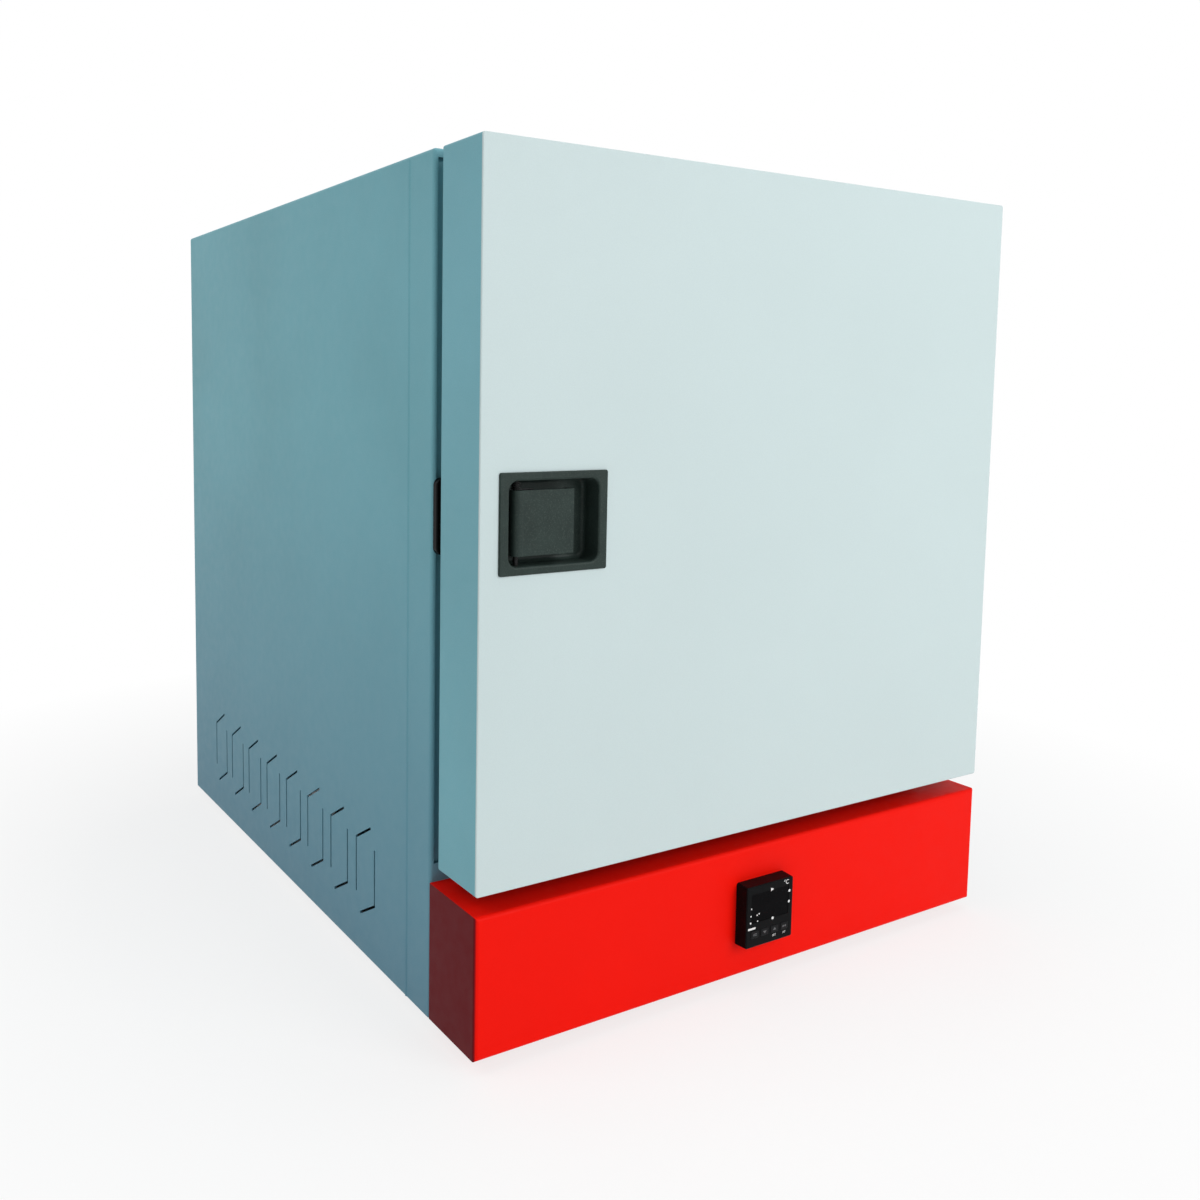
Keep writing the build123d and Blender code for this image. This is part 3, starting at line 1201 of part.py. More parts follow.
WOOL_GAP = 1.0
CAVITY_X0 = -HALF_W
CAVITY_X1 = LATCH_X + PAN_W / 2 + 2.0
CAVITY_H = PAN_H + 4.0
with BuildPart() as door_insulation:
    with BuildSketch(facing(SHELL_FRONT + SHEET)):
        with Locations((0, DOOR_CZ)):
            Rectangle(BODY_W - 2 * SHEET - 2 * WOOL_GAP, DOOR_H - 2 * SHEET - 2 * WOOL_GAP)
    extrude(amount=-(DOOR_BACK - SHELL_FRONT - 2 * SHEET))
    with BuildSketch(facing(DOOR_BACK - SHEET)):
        with Locations((0, DOOR_CZ)):
            Rectangle(SHELL_OPENING - 2 * WOOL_GAP, SHELL_OPENING - 2 * WOOL_GAP)
    extrude(amount=-SHEET)
    with BuildSketch(facing(DOOR_BACK)):
        with Locations((0, DOOR_CZ)):
            Rectangle(PLUG_W - 2 * PLUG_R, PLUG_H - 2 * PLUG_R)
    extrude(amount=-(PLUG_END - LINER_T - DOOR_BACK))
    with BuildSketch(facing(DOOR_FRONT)):
        with Locations(((CAVITY_X0 + CAVITY_X1) / 2, DOOR_CZ)):
            Rectangle(CAVITY_X1 - CAVITY_X0, CAVITY_H)
    extrude(amount=-DOOR_T, mode=Mode.SUBTRACT)
    with BuildSketch(facing(DOOR_BACK)):
        with Locations((0, DOOR_CZ)):
            with GridLocations(LINER_W - SEAM_OVERLAP, (LINER_H - SEAM_OVERLAP) / 2, 2, 3):
                Circle(SCREW_R + WOOL_GAP)
            with GridLocations(1, LINER_H - SEAM_OVERLAP, 1, 2):
                Circle(SCREW_R + WOOL_GAP)
    extrude(amount=SCREW_L, mode=Mode.SUBTRACT)
    with BuildSketch(sideways(HALF_W)):
        with Locations([(HINGE_Y - LEAF_SCREW_Y, z) for z in LEAF_SCREWS]):
            Circle(SCREW_R + WOOL_GAP)
    extrude(amount=-SCREW_L, mode=Mode.SUBTRACT)
finish_part(door_insulation, "door_insulation")

with BuildPart() as door_liner:
    with BuildSketch(facing(DOOR_BACK)):
        with Locations((0, DOOR_CZ)):
            RectangleRounded(LINER_W, LINER_H, PLUG_R)
    extrude(amount=-LINER_T)
    with BuildSketch(facing(DOOR_BACK)):
        with Locations((0, DOOR_CZ)):
            RectangleRounded(PLUG_W, PLUG_H, PLUG_R)
    extrude(amount=-(PLUG_END - DOOR_BACK))
    fillet(door_liner.faces().sort_by(Axis.Y)[-1].edges(), PLUG_R / 4)
    with BuildSketch(facing(DOOR_BACK)):
        with Locations((0, DOOR_CZ)):
            RectangleRounded(PLUG_W - 2 * LINER_T, PLUG_H - 2 * LINER_T, PLUG_R - LINER_T)
    extrude(amount=-(PLUG_END - LINER_T - DOOR_BACK), mode=Mode.SUBTRACT)
    with BuildSketch(facing(DOOR_BACK)):
        with Locations((0, DOOR_CZ)):
            with GridLocations(LINER_W - SEAM_OVERLAP, (LINER_H - SEAM_OVERLAP) / 2, 2, 3):
                Circle(SCREW_R + SCREW_SLACK)
            with GridLocations(1, LINER_H - SEAM_OVERLAP, 1, 2):
                Circle(SCREW_R + SCREW_SLACK)
    extrude(amount=-LINER_T, mode=Mode.SUBTRACT)
finish_part(door_liner, "door_liner")

with BuildPart() as door_liner_screws:
    with BuildSketch(facing(DOOR_BACK + LINER_T)):
        with Locations((0, DOOR_CZ)):
            with GridLocations(LINER_W - SEAM_OVERLAP, (LINER_H - SEAM_OVERLAP) / 2, 2, 3):
                Circle(HEAD_R)
            with GridLocations(1, LINER_H - SEAM_OVERLAP, 1, 2):
                Circle(HEAD_R)
    extrude(amount=-HEAD_H)
    with BuildSketch(facing(DOOR_BACK + LINER_T)):
        with Locations((0, DOOR_CZ)):
            with GridLocations(LINER_W - SEAM_OVERLAP, (LINER_H - SEAM_OVERLAP) / 2, 2, 3):
                Circle(SCREW_R)
            with GridLocations(1, LINER_H - SEAM_OVERLAP, 1, 2):
                Circle(SCREW_R)
    extrude(amount=SCREW_L)
finish_part(door_liner_screws, "door_liner_screws")

GASKET_IN_W = CHAMBER_W + 2 * GASKET_GAP
GASKET_IN_H = CHAMBER_H + 2 * GASKET_GAP
GASKET_OUT_W = GASKET_IN_W + 2 * GASKET_W
GASKET_OUT_H = GASKET_IN_H + 2 * GASKET_W
GASKET_END = FRAME_Y - LINER_T - 0.3
with BuildPart() as door_gasket:
    with BuildSketch(facing(DOOR_BACK + LINER_T)):
        with Locations((0, DOOR_CZ)):
            RectangleRounded(GASKET_OUT_W, GASKET_OUT_H, CHAMBER_R + GASKET_W)
            RectangleRounded(GASKET_IN_W, GASKET_IN_H, CHAMBER_R, mode=Mode.SUBTRACT)
    extrude(amount=-(GASKET_END - DOOR_BACK - LINER_T))
    fillet(door_gasket.faces().sort_by(Axis.Y)[-1].edges(), GASKET_R)
finish_part(door_gasket, "door_gasket")

# Keeper: hollow black block at the frame's edge that the latch nose reaches into
KEEPER_CX = KEEPER_X0 + KEEPER_W / 2
KEEPER_FRONT = BODY_FRONT - KEEPER_PROUD
KEEPER_BACK_X0 = -HALF_W + LIP_SIDE + SCREW_SLACK
KEEPER_X1 = KEEPER_X0 + KEEPER_W
KEEPER_SCREWS = [(KEEPER_CX, DOOR_CZ + side * KEEPER_SCREW_PLACE) for side in (-1, 1)]
MOUTH_H = BOLT_H + 3.0
with BuildPart() as keeper:
    with BuildSketch(facing(BODY_FRONT)):
        with Locations((KEEPER_CX, DOOR_CZ)):
            RectangleRounded(KEEPER_W, KEEPER_H, KEEPER_R)
    extrude(amount=KEEPER_PROUD)
    fillet(keeper.faces().sort_by(Axis.Y)[0].edges(), KEEPER_EDGE)
    with BuildSketch(facing(BODY_FRONT)):
        with Locations(((KEEPER_BACK_X0 + KEEPER_X1) / 2, DOOR_CZ)):
            Rectangle(KEEPER_X1 - KEEPER_BACK_X0, KEEPER_H - 2 * KEEPER_R)
    extrude(amount=-RECESS)
    with BuildSketch(facing(FRAME_Y)):
        with Locations(((MOUTH_X0 + MOUTH_X1 - BOLT_TAB) / 2, DOOR_CZ)):
            Rectangle(MOUTH_X1 - MOUTH_X0 + BOLT_TAB, MOUTH_H)
    extrude(amount=RECESS + KEEPER_PROUD - KEEPER_LIP, mode=Mode.SUBTRACT)
    with BuildSketch(facing(KEEPER_FRONT)):
        with Locations(((MOUTH_X0 + MOUTH_X1) / 2, DOOR_CZ)):
            Rectangle(MOUTH_X1 - MOUTH_X0, MOUTH_H)
    extrude(amount=-2 * KEEPER_LIP, mode=Mode.SUBTRACT)
    with BuildSketch(facing(KEEPER_FRONT)):
        with Locations(KEEPER_SCREWS):
            Circle(SCREW_R + SCREW_SLACK)
    extrude(amount=-2 * KEEPER_PROUD, mode=Mode.SUBTRACT)
    with BuildSketch(facing(KEEPER_FRONT)):
        with Locations(KEEPER_SCREWS):
            Circle(HEAD_R + SCREW_SLACK)
    extrude(amount=-HEAD_H, mode=Mode.SUBTRACT)
finish_part(keeper, "keeper")

with BuildPart() as keeper_screws:
    with BuildSketch(facing(KEEPER_FRONT + HEAD_H)):
        with Locations(KEEPER_SCREWS):
            Circle(HEAD_R)
    extrude(amount=HEAD_H)
    with BuildSketch(facing(KEEPER_FRONT + HEAD_H)):
        with Locations(KEEPER_SCREWS):
            Circle(SCREW_R)
    extrude(amount=-(FRAME_Y + 2 * SHEET - KEEPER_FRONT))
finish_part(keeper_screws, "keeper_screws")

# Latch pan: pressed dish with a flat flange, a pin across it and a slot for the arm
PAN_CORNER_R = 1.5
RIM_R = 1.5
DISH_FLOOR_R = 3.0
ARM_SLOT_X0 = PIVOT_X - ARM_R - 1.0
ARM_SLOT_X1 = PIVOT_X + 10.0
with BuildPart() as latch_pan:
    with BuildSketch(facing(DOOR_FRONT)):
        with Locations((LATCH_X, DOOR_CZ)):
            RectangleRounded(PAN_W, PAN_H, PAN_CORNER_R)
    extrude(amount=PAN_PROUD)
    fillet(latch_pan.faces().sort_by(Axis.Y)[0].edges(), PAN_PROUD / 2)
    with BuildSketch(facing(DOOR_FRONT)):
        with Locations((LATCH_X, DOOR_CZ)):
            RectangleRounded(DISH_W + 2 * PAN_WALL, DISH_H + 2 * PAN_WALL, PAN_HOLE_R)
    extrude(amount=-(DISH_DEPTH + PAN_WALL))
    fillet(latch_pan.faces().sort_by(Axis.Y)[-1].edges(), DISH_FLOOR_R + PAN_WALL)
    with BuildSketch(facing(DOOR_FRONT - PAN_PROUD)):
        with Locations((LATCH_X, DOOR_CZ)):
            RectangleRounded(DISH_W, DISH_H, DISH_R)
    extrude(amount=-(DISH_DEPTH + PAN_PROUD), mode=Mode.SUBTRACT)
    dish_floor = latch_pan.faces().filter_by(Axis.Y).sort_by(Axis.Y)[-2]
    fillet(dish_floor.edges(), DISH_FLOOR_R)
    rim_edges = latch_pan.faces().sort_by(Axis.Y)[0].inner_wires()[0].edges()
    fillet(rim_edges, RIM_R)
    with BuildSketch(facing(PAN_FLOOR)):
        with Locations(((ARM_SLOT_X0 + ARM_SLOT_X1) / 2, DOOR_CZ)):
            Rectangle(ARM_SLOT_X1 - ARM_SLOT_X0, BOLT_H)
    extrude(amount=-2 * PAN_WALL, mode=Mode.SUBTRACT)
    with BuildSketch(level(DOOR_CZ)):
        with Locations((PIVOT_X, PIVOT_Y)):
            Circle(LATCH_PIN_R)
    extrude(amount=DISH_H / 2 + PAN_WALL / 2, both=True, mode=Mode.SUBTRACT)
finish_part(latch_pan, "latch_pan")

with BuildPart() as latch_pin:
    with BuildSketch(level(DOOR_CZ)):
        with Locations((PIVOT_X, PIVOT_Y)):
            Circle(LATCH_PIN_R)
    extrude(amount=DISH_H / 2 + PAN_WALL / 2, both=True)
finish_part(latch_pin, "latch_pin")

# Latch paddle: curved handle on a barrel, with an arm behind it that pushes the bolt
FACE_LIFT = PIVOT_Y - DOOR_FRONT - PADDLE_SET
CURVE_X = 7.0
PADDLE_EDGE_R = 1.5
paddle_plane = Plane(
    origin=(PIVOT_X, PIVOT_Y, DOOR_CZ),
    x_dir=(1, 0, 0),
    z_dir=(0, 0, -1),
)
with BuildPart() as latch_paddle:
    with BuildSketch(paddle_plane):
        with BuildLine():
            Line((-BARREL_R, 0), (-BARREL_R, 1.0))
            TangentArc((-BARREL_R, 1.0), (CURVE_X - BARREL_R, FACE_LIFT), tangent=(0, 1))
            Polyline(
                (CURVE_X - BARREL_R, FACE_LIFT),
                (PADDLE_W, FACE_LIFT),
                (PADDLE_W, FACE_LIFT - PADDLE_LIP),
                (PADDLE_W - PADDLE_T, FACE_LIFT - PADDLE_LIP),
                (PADDLE_W - PADDLE_T, FACE_LIFT - PADDLE_T),
                (BARREL_R, FACE_LIFT - PADDLE_T),
                (BARREL_R, 0),
                (-BARREL_R, 0),
            )
        make_face()
        Circle(BARREL_R)
    extrude(amount=PADDLE_H / 2, both=True)
    face_edges = latch_paddle.faces().sort_by(Axis.Y)[0].edges()
    fillet(face_edges.sort_by(Axis.X)[-1], PADDLE_EDGE_R)
    with BuildSketch(paddle_plane):
        Rectangle(2 * ARM_R, ARM_REACH, align=(Align.CENTER, Align.MAX))
        with Locations((0, -ARM_REACH)):
            Circle(ARM_R)
    extrude(amount=ARM_H / 2, both=True)
    with BuildSketch(paddle_plane):
        Circle(LATCH_PIN_R + RUN)
    extrude(amount=PADDLE_H / 2, both=True, mode=Mode.SUBTRACT)
finish_part(latch_paddle, "latch_paddle")

# Torsion spring round the pin, above the barrel
SPRING_Z0 = DOOR_CZ + PADDLE_H / 2 + SPRING_WIRE_R + SCREW_SLACK
SPRING_H = DOOR_CZ + DISH_H / 2 - SPRING_WIRE_R - SCREW_SLACK - SPRING_Z0
with BuildLine() as spring_line:
    Helix(SPRING_H / SPRING_TURNS, SPRING_H, SPRING_R, center=(PIVOT_X, PIVOT_Y, SPRING_Z0))
spring_path = spring_line.wires()[0]
with BuildPart() as latch_spring:
    with BuildSketch(Plane(origin=spring_path @ 0, z_dir=spring_path % 0)):
        Circle(SPRING_WIRE_R)
    sweep(path=spring_path, is_frenet=True)
finish_part(latch_spring, "latch_spring")

# Latch bolt: plate behind the pan, tab before the arm, leg back to the nose
BOLT_X1 = TAB_X + BOLT_TAB + 12.0
NOSE_BEVEL = 2.0
with BuildPart() as latch_bolt:
    with BuildSketch(Plane(origin=(0, 0, DOOR_CZ))):
        with Locations(((LEG_X + BOLT_X1) / 2, BOLT_Y + BOLT_T / 2)):
            Rectangle(BOLT_X1 - LEG_X, BOLT_T)
        with Locations((TAB_X, BOLT_Y)):
            Rectangle(BOLT_TAB, BOLT_Y - PAN_BACK - 0.8, align=(Align.MIN, Align.MAX))
        with Locations((LEG_X, BOLT_Y)):
            Rectangle(BOLT_LEG, NOSE_BACK - BOLT_Y, align=(Align.MIN, Align.MIN))
        with Locations((NOSE_X, NOSE_BACK)):
            Rectangle(NOSE_L, NOSE_T, align=(Align.MIN, Align.MAX))
    extrude(amount=BOLT_H / 2, both=True)
    nose_edges = latch_bolt.edges().filter_by(Axis.Z).group_by(Axis.X)[0]
    chamfer(nose_edges.sort_by(Axis.Y)[-1], NOSE_BEVEL)
finish_part(latch_bolt, "latch_bolt")

GUIDE_X1 = BOLT_X1 + BOLT_TRAVEL + 6.0
GUIDE_BACK = BOLT_Y + BOLT_T + FIT
GUIDE_H = BOLT_H + 2 * FIT
with BuildPart() as latch_guide:
    with BuildSketch(sideways(MOUTH_X1)):
        with Locations(((PAN_BACK + GUIDE_BACK + GUIDE_T) / 2, DOOR_CZ)):
            Rectangle(GUIDE_BACK + GUIDE_T - PAN_BACK, GUIDE_H + 2 * GUIDE_T)
        with Locations(((PAN_BACK + GUIDE_BACK) / 2, DOOR_CZ)):
            Rectangle(GUIDE_BACK - PAN_BACK, GUIDE_H, mode=Mode.SUBTRACT)
    extrude(amount=GUIDE_X1 - MOUTH_X1)
finish_part(latch_guide, "latch_guide")
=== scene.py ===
"""Looks of a bench-top laboratory drying oven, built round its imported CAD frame.

Every length is in metres, in the frame of the CAD part: X to the right seen from
the front, Y from the door towards the rear cover, Z up from the bench.
"""

import json
import logging
import math
from dataclasses import dataclass
from enum import Enum
from typing import ClassVar, Optional, Sequence

import bmesh
import bpy
from mathutils import Matrix, Vector

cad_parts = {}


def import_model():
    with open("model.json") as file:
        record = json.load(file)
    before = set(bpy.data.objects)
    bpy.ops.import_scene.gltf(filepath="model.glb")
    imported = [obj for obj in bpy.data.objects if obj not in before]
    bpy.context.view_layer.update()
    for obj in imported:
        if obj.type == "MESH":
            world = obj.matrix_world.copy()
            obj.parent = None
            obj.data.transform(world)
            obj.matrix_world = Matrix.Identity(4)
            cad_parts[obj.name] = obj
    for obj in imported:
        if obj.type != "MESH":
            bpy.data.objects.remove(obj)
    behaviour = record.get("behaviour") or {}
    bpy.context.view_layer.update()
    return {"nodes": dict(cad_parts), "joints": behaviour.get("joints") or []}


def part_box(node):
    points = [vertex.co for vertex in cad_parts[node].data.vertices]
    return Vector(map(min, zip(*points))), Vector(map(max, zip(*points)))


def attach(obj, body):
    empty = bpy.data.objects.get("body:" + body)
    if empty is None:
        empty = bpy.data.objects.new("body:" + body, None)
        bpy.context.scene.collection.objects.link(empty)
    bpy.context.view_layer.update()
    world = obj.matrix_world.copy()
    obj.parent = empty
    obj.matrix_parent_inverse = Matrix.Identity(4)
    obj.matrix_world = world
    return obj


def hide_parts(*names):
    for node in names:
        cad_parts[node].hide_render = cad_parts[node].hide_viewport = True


log = logging.getLogger("drying_oven")

Colour = tuple[float, float, float]
Point = tuple[float, float, float]
Span = tuple[float, float]
Outline = Sequence[Span]
Socket = bpy.types.NodeSocket
Piece = bpy.types.Object
BMesh = bmesh.types.BMesh
BMVert = bmesh.types.BMVert
Value = Colour | Socket | float
WHITE: Colour = (1.0, 1.0, 1.0)
MM = 0.001
CAP_SHARE = 0.7  # height of a capital over the size of the built-in letters
LETTER_DEPTH = 0.02 * MM
MOST: Span = (0.3, 0.7)  # range that most values of a noise lie in


def axes(across: Vector, up: Vector, normal: Vector) -> Matrix:
    """Rotation that takes the local X, Y and Z axes to three directions."""
    return Matrix((across, up, normal)).transposed().to_4x4()


class Facing(Enum):
    """Directions in which a flat piece can look, as the outward normal."""

    FRONT = (0.0, -1.0, 0.0)
    BACK = (0.0, 1.0, 0.0)
    RIGHT = (1.0, 0.0, 0.0)
    DOWN = (0.0, 0.0, -1.0)

    def turn(self) -> Matrix:
        """Rotation that takes the local +Z axis to this direction, local +Y upright."""
        normal = Vector(self.value)
        up = Vector((0, 1, 0)) if self is Facing.DOWN else Vector((0, 0, 1))
        across = up.cross(normal).normalized()
        return axes(across, normal.cross(across), normal)


class Grain(Enum):
    """Direction in which the lines of a brushed sheet run, as a stretch per axis."""

    X = (0.02, 1.0, 1.0)
    Y = (1.0, 0.02, 1.0)
    Z = (1.0, 1.0, 0.02)


# Materials


def shaded(colour: Colour, factor: float) -> Colour:
    """A colour made lighter or darker by a factor."""
    return tuple(min(1.0, part * factor) for part in colour)  # type: ignore[return-value]


class Wiring:
    """Adds nodes to one node tree and wires them."""

    def __init__(self, tree: bpy.types.NodeTree) -> None:
        """Empty a node tree and work in it."""
        self.tree = tree
        tree.nodes.clear()

    def feed(self, socket: Socket, value: Value) -> None:
        """Wire an input to another node, or set it to a colour or a number.

        Args:
            socket: The input.
            value: What it gets.
        """
        if isinstance(value, Socket):
            self.tree.links.new(value, socket)
        else:
            socket.default_value = (*value, 1.0) if isinstance(value, tuple) else value

    def node(self, kind: str, *values: Value, **settings: object) -> bpy.types.Node:
        """Add a node of a kind, set its attributes and feed its first inputs.

        Args:
            kind: Node type without its ShaderNode prefix.
            values: What its inputs get, in their order.
            settings: Attribute names and values.

        Returns:
            The new node.
        """
        made = self.tree.nodes.new("ShaderNode" + kind)
        for name, setting in settings.items():
            setattr(made, name, setting)
        for socket, value in zip(made.inputs, values):
            self.feed(socket, value)
        return made

    def seen(self) -> Socket:
        """Tell the rays that show a background from those that only light.

        Returns:
            A value, 1 for camera, glossy and transmission rays.
        """
        rays = self.node("LightPath").outputs
        seen = rays["Is Camera Ray"]
        for kind in ("Is Glossy Ray", "Is Transmission Ray"):
            seen = self.node("Math", seen, rays[kind], operation="MAXIMUM").outputs[0]
        return seen


class Sheet(Wiring):
    """One new material with a Principled shader."""

    def __init__(self, name: str) -> None:
        """Start the material.

        Args:
            name: Name of the material.
        """
        self.material = bpy.data.materials.new(name)
        self.material.use_nodes = True
        super().__init__(self.material.node_tree)
        self.shader = self.node("BsdfPrincipled")
        self.output = self.node("OutputMaterial", self.shader.outputs["BSDF"])
        self.place = self.node("TexCoord").outputs["Object"]

    def set(self, **values: Value) -> None:
        """Feed inputs of the Principled shader, underscores standing for spaces."""
        for name, value in values.items():
            self.feed(self.shader.inputs[name.replace("_", " ")], value)

    def stretched(self, stretch: Sequence[float]) -> Socket:
        """Object coordinates scaled by one factor per axis.

        Args:
            stretch: Factors along X, Y and Z.

        Returns:
            The scaled vector.
        """
        mapping = self.node("Mapping", self.place)
        mapping.inputs["Scale"].default_value = tuple(stretch)
        return mapping.outputs["Vector"]

    def noise(
        self,
        size: float,
        detail: float = 2.0,
        vector: Optional[Socket] = None,
        roughness: float = 0.5,
    ) -> Socket:
        """A noise whose blotches are about one size across.

        Args:
            size: Size of a blotch.
            detail: Octaves of finer noise.
            vector: Coordinates, the object's own where left out.
            roughness: Weight of the finer octaves.

        Returns:
            The noise value, mostly in the span MOST.
        """
        made = self.node("TexNoise", vector or self.place)
        made.inputs["Scale"].default_value = 1.0 / size
        made.inputs["Detail"].default_value = detail
        made.inputs["Roughness"].default_value = roughness
        return made.outputs["Fac"]

    def spread(
        self, value: Socket, low: float = 0.0, high: float = 1.0, span: Span = MOST
    ) -> Socket:
        """Map a value from its own span to the range from low to high, clamped."""
        return self.node("MapRange", value, *span, low, high).outputs["Result"]

    def blend(self, share: Socket, first: Colour | Socket, second: Colour | Socket) -> Socket:
        """Mix two colours by a share.

        Args:
            share: 0 for the first colour, 1 for the second.
            first: Colour or colour socket.
            second: Colour or colour socket.

        Returns:
            The mixed colour.
        """
        mix = self.node("Mix", share, data_type="RGBA")
        self.feed(mix.inputs[6], first)
        self.feed(mix.inputs[7], second)
        return mix.outputs[2]

    def mottle(self, value: Socket, colour: Colour, dark: float, light: float) -> Socket:
        """A colour that wavers between two factors of itself with a noise."""
        return self.blend(self.spread(value), shaded(colour, dark), shaded(colour, light))

    def tint(
        self,
        under: Colour | Socket,
        over: Colour,
        value: Socket,
        share: float = 1.0,
        span: Span = MOST,
    ) -> None:
        """Colour the shader, one tone covering another up to a share as a value rises."""
        cover = self.spread(value, 0.0, share, span)
        self.set(Base_Color=self.blend(cover, under, over))

    def gloss(
        self, value: Socket, roughness: float, band: Span = (0.08, 0.1), span: Span = MOST
    ) -> None:
        """Let the shader's roughness waver with a value, by a band below and above."""
        self.set(Roughness=self.spread(value, roughness - band[0], roughness + band[1], span))

    def relief(self, height: Socket, depth: float, after: Optional[Socket] = None) -> Socket:
        """Give the surface relief from a height.

        Args:
            height: Height value, 0 to 1.
            depth: Depth of the relief.
            after: Normal of an earlier relief.

        Returns:
            The normal, already wired to the shader.
        """
        bump = self.node("Bump")
        self.feed(bump.inputs["Distance"], depth)
        self.feed(bump.inputs["Height"], height)
        if after is not None:
            self.feed(bump.inputs["Normal"], after)
        self.set(Normal=bump.outputs["Normal"])
        return bump.outputs["Normal"]


@dataclass(frozen=True)
class Recipe:
    """How one finish is made.

    Attributes:
        name: Name of the material.
        colour: Main colour.
    """

    name: str
    colour: Colour

    def material(self) -> bpy.types.Material:
        """Build the material."""
        sheet = Sheet(self.name)
        self.wire(sheet)
        return sheet.material

    def wire(self, sheet: Sheet) -> None:
        """Add the nodes of this finish, which each kind of finish does its own way."""
        raise NotImplementedError(self.name)


@dataclass(frozen=True)
class PowderCoat(Recipe):
    """Sprayed and baked paint with a fine orange-peel texture.

    Attributes:
        cloud: Size of the slow changes of tone.
        drift: Strength of these changes, as a share.
        peel: Size of the texture's bumps.
        depth: Depth of the bumps.
        pit: Size of the dark pits between them.
        speck: How dark the pits are, as a share.
        roughness: Middle roughness.
        worn: Size of the duller patches.
        specular: Specular level.
        floor_shade_colour: Painted shade towards the bottom of the sheet.
        foot: Heights between which the painted shade takes over.
        side_shade_colour: Painted shade on the faces that look left and right, a darker red.
        end: Sideways part of the normal over which the painted side shade takes over.
    """

    cloud: float = 140 * MM
    drift: float = 0.05
    peel: float = 1.1 * MM
    depth: float = 0.05 * MM
    pit: float = 0.7 * MM
    speck: float = 0.14
    roughness: float = 0.45
    worn: float = 9 * MM
    specular: float = 0.12
    floor_shade_colour: Optional[Colour] = None
    foot: Span = (0.42, 0.02)
    side_shade_colour: Optional[Colour] = None
    end: Span = (0.6, 0.9)

    def wire(self, sheet: Sheet) -> None:
        """Add the paint's nodes."""
        cloud = sheet.noise(self.cloud, detail=3.0)
        tone = sheet.mottle(cloud, self.colour, 1.0 - self.drift, 1.0 + self.drift)
        # Painted shade: the paint darkens towards the floor.
        if self.floor_shade_colour is not None:
            height = sheet.node("SeparateXYZ", sheet.place).outputs["Z"]
            tone = sheet.blend(sheet.spread(height, span=self.foot), tone, self.floor_shade_colour)
        # Painted shade: faces that look left or right are darkened to the side colour.
        if self.side_shade_colour is not None:
            normal = sheet.node("TexCoord").outputs["Normal"]
            across = sheet.node("SeparateXYZ", normal).outputs["X"]
            sideways = sheet.node("Math", across, operation="ABSOLUTE").outputs[0]
            tone = sheet.blend(sheet.spread(sideways, span=self.end), tone, self.side_shade_colour)
        pits = sheet.noise(self.pit, detail=1.0)
        sheet.tint(tone, shaded(self.colour, 0.5), pits, share=self.speck)
        sheet.gloss(sheet.noise(self.worn), self.roughness, (0.04, 0.06))
        sheet.relief(sheet.noise(self.peel, detail=1.5), self.depth)
        sheet.set(Specular_IOR_Level=self.specular)


@dataclass(frozen=True)
class BrushedSheet(Recipe):
    """Bare metal sheet with fine lines in one direction.

    Attributes:
        grain: Direction of the lines.
        line: Width of a line.
        depth: Depth of a line.
        roughness: Middle roughness.
        blotch: Size of the blotches of heat or age.
        stain: Colour of the blotches.
        stain_share: How strong they are.
    """

    grain: Grain = Grain.X
    line: float = 0.35 * MM
    depth: float = 0.012 * MM
    roughness: float = 0.3
    blotch: float = 45 * MM
    stain: Colour = (0.5, 0.42, 0.3)
    stain_share: float = 0.12

    def wire(self, sheet: Sheet) -> None:
        """Add the metal's nodes."""
        lines = sheet.noise(self.line, vector=sheet.stretched(self.grain.value))
        tone = sheet.mottle(lines, self.colour, 0.9, 1.08)
        blotches = sheet.noise(self.blotch, detail=4.0)
        sheet.tint(tone, self.stain, blotches, self.stain_share, (0.45, 0.75))
        sheet.gloss(lines, self.roughness, (0.07, 0.1))
        sheet.relief(lines, self.depth)
        sheet.set(Metallic=1.0)


@dataclass(frozen=True)
class ZincCoat(Recipe):
    """Galvanised or zinc plated steel with a faint crystal pattern.

    Attributes:
        crystal: Size of a crystal.
        roughness: Middle roughness.
        stain: Size of the dull stains.
        texture: Size of the surface texture.
        depth: Depth of the texture.
    """

    crystal: float = 7 * MM
    roughness: float = 0.38
    stain: float = 20 * MM
    texture: float = 0.6 * MM
    depth: float = 0.01 * MM

    def wire(self, sheet: Sheet) -> None:
        """Add the metal's nodes."""
        cells = sheet.node("TexVoronoi", sheet.place)
        cells.inputs["Scale"].default_value = 1.0 / self.crystal
        facet = sheet.node("SeparateColor", cells.outputs["Color"]).outputs[0]
        tone = sheet.blend(facet, shaded(self.colour, 0.88), shaded(self.colour, 1.08))
        stains = sheet.noise(self.stain, detail=4.0)
        sheet.tint(tone, shaded(self.colour, 0.6), stains, 0.25, (0.5, 0.8))
        sheet.gloss(facet, self.roughness, span=(0.0, 1.0))
        sheet.relief(sheet.noise(self.texture), self.depth)
        sheet.set(Metallic=1.0)


@dataclass(frozen=True)
class Moulding(Recipe):
    """Moulded plastic or lacquer with a fine surface texture.

    Attributes:
        roughness: Middle roughness.
        cloud: Size of the slow changes of tone.
        texture: Size of the surface texture.
        depth: Depth of the texture.
        dust: Size of the specks of dust.
        specular: Specular level.
    """

    roughness: float = 0.4
    cloud: float = 12 * MM
    texture: float = 0.4 * MM
    depth: float = 0.01 * MM
    dust: float = 0.5 * MM
    specular: float = 0.5

    def wire(self, sheet: Sheet) -> None:
        """Add the plastic's nodes."""
        cloud = sheet.noise(self.cloud, detail=3.0)
        tone = sheet.mottle(cloud, self.colour, 0.9, 1.12)
        dusty = tuple(part + 0.02 for part in self.colour)
        sheet.tint(tone, dusty, sheet.noise(self.dust), 0.2, (0.6, 0.8))
        sheet.gloss(cloud, self.roughness, (0.05, 0.05))
        sheet.relief(sheet.noise(self.texture, detail=1.5), self.depth)
        sheet.set(Specular_IOR_Level=self.specular)


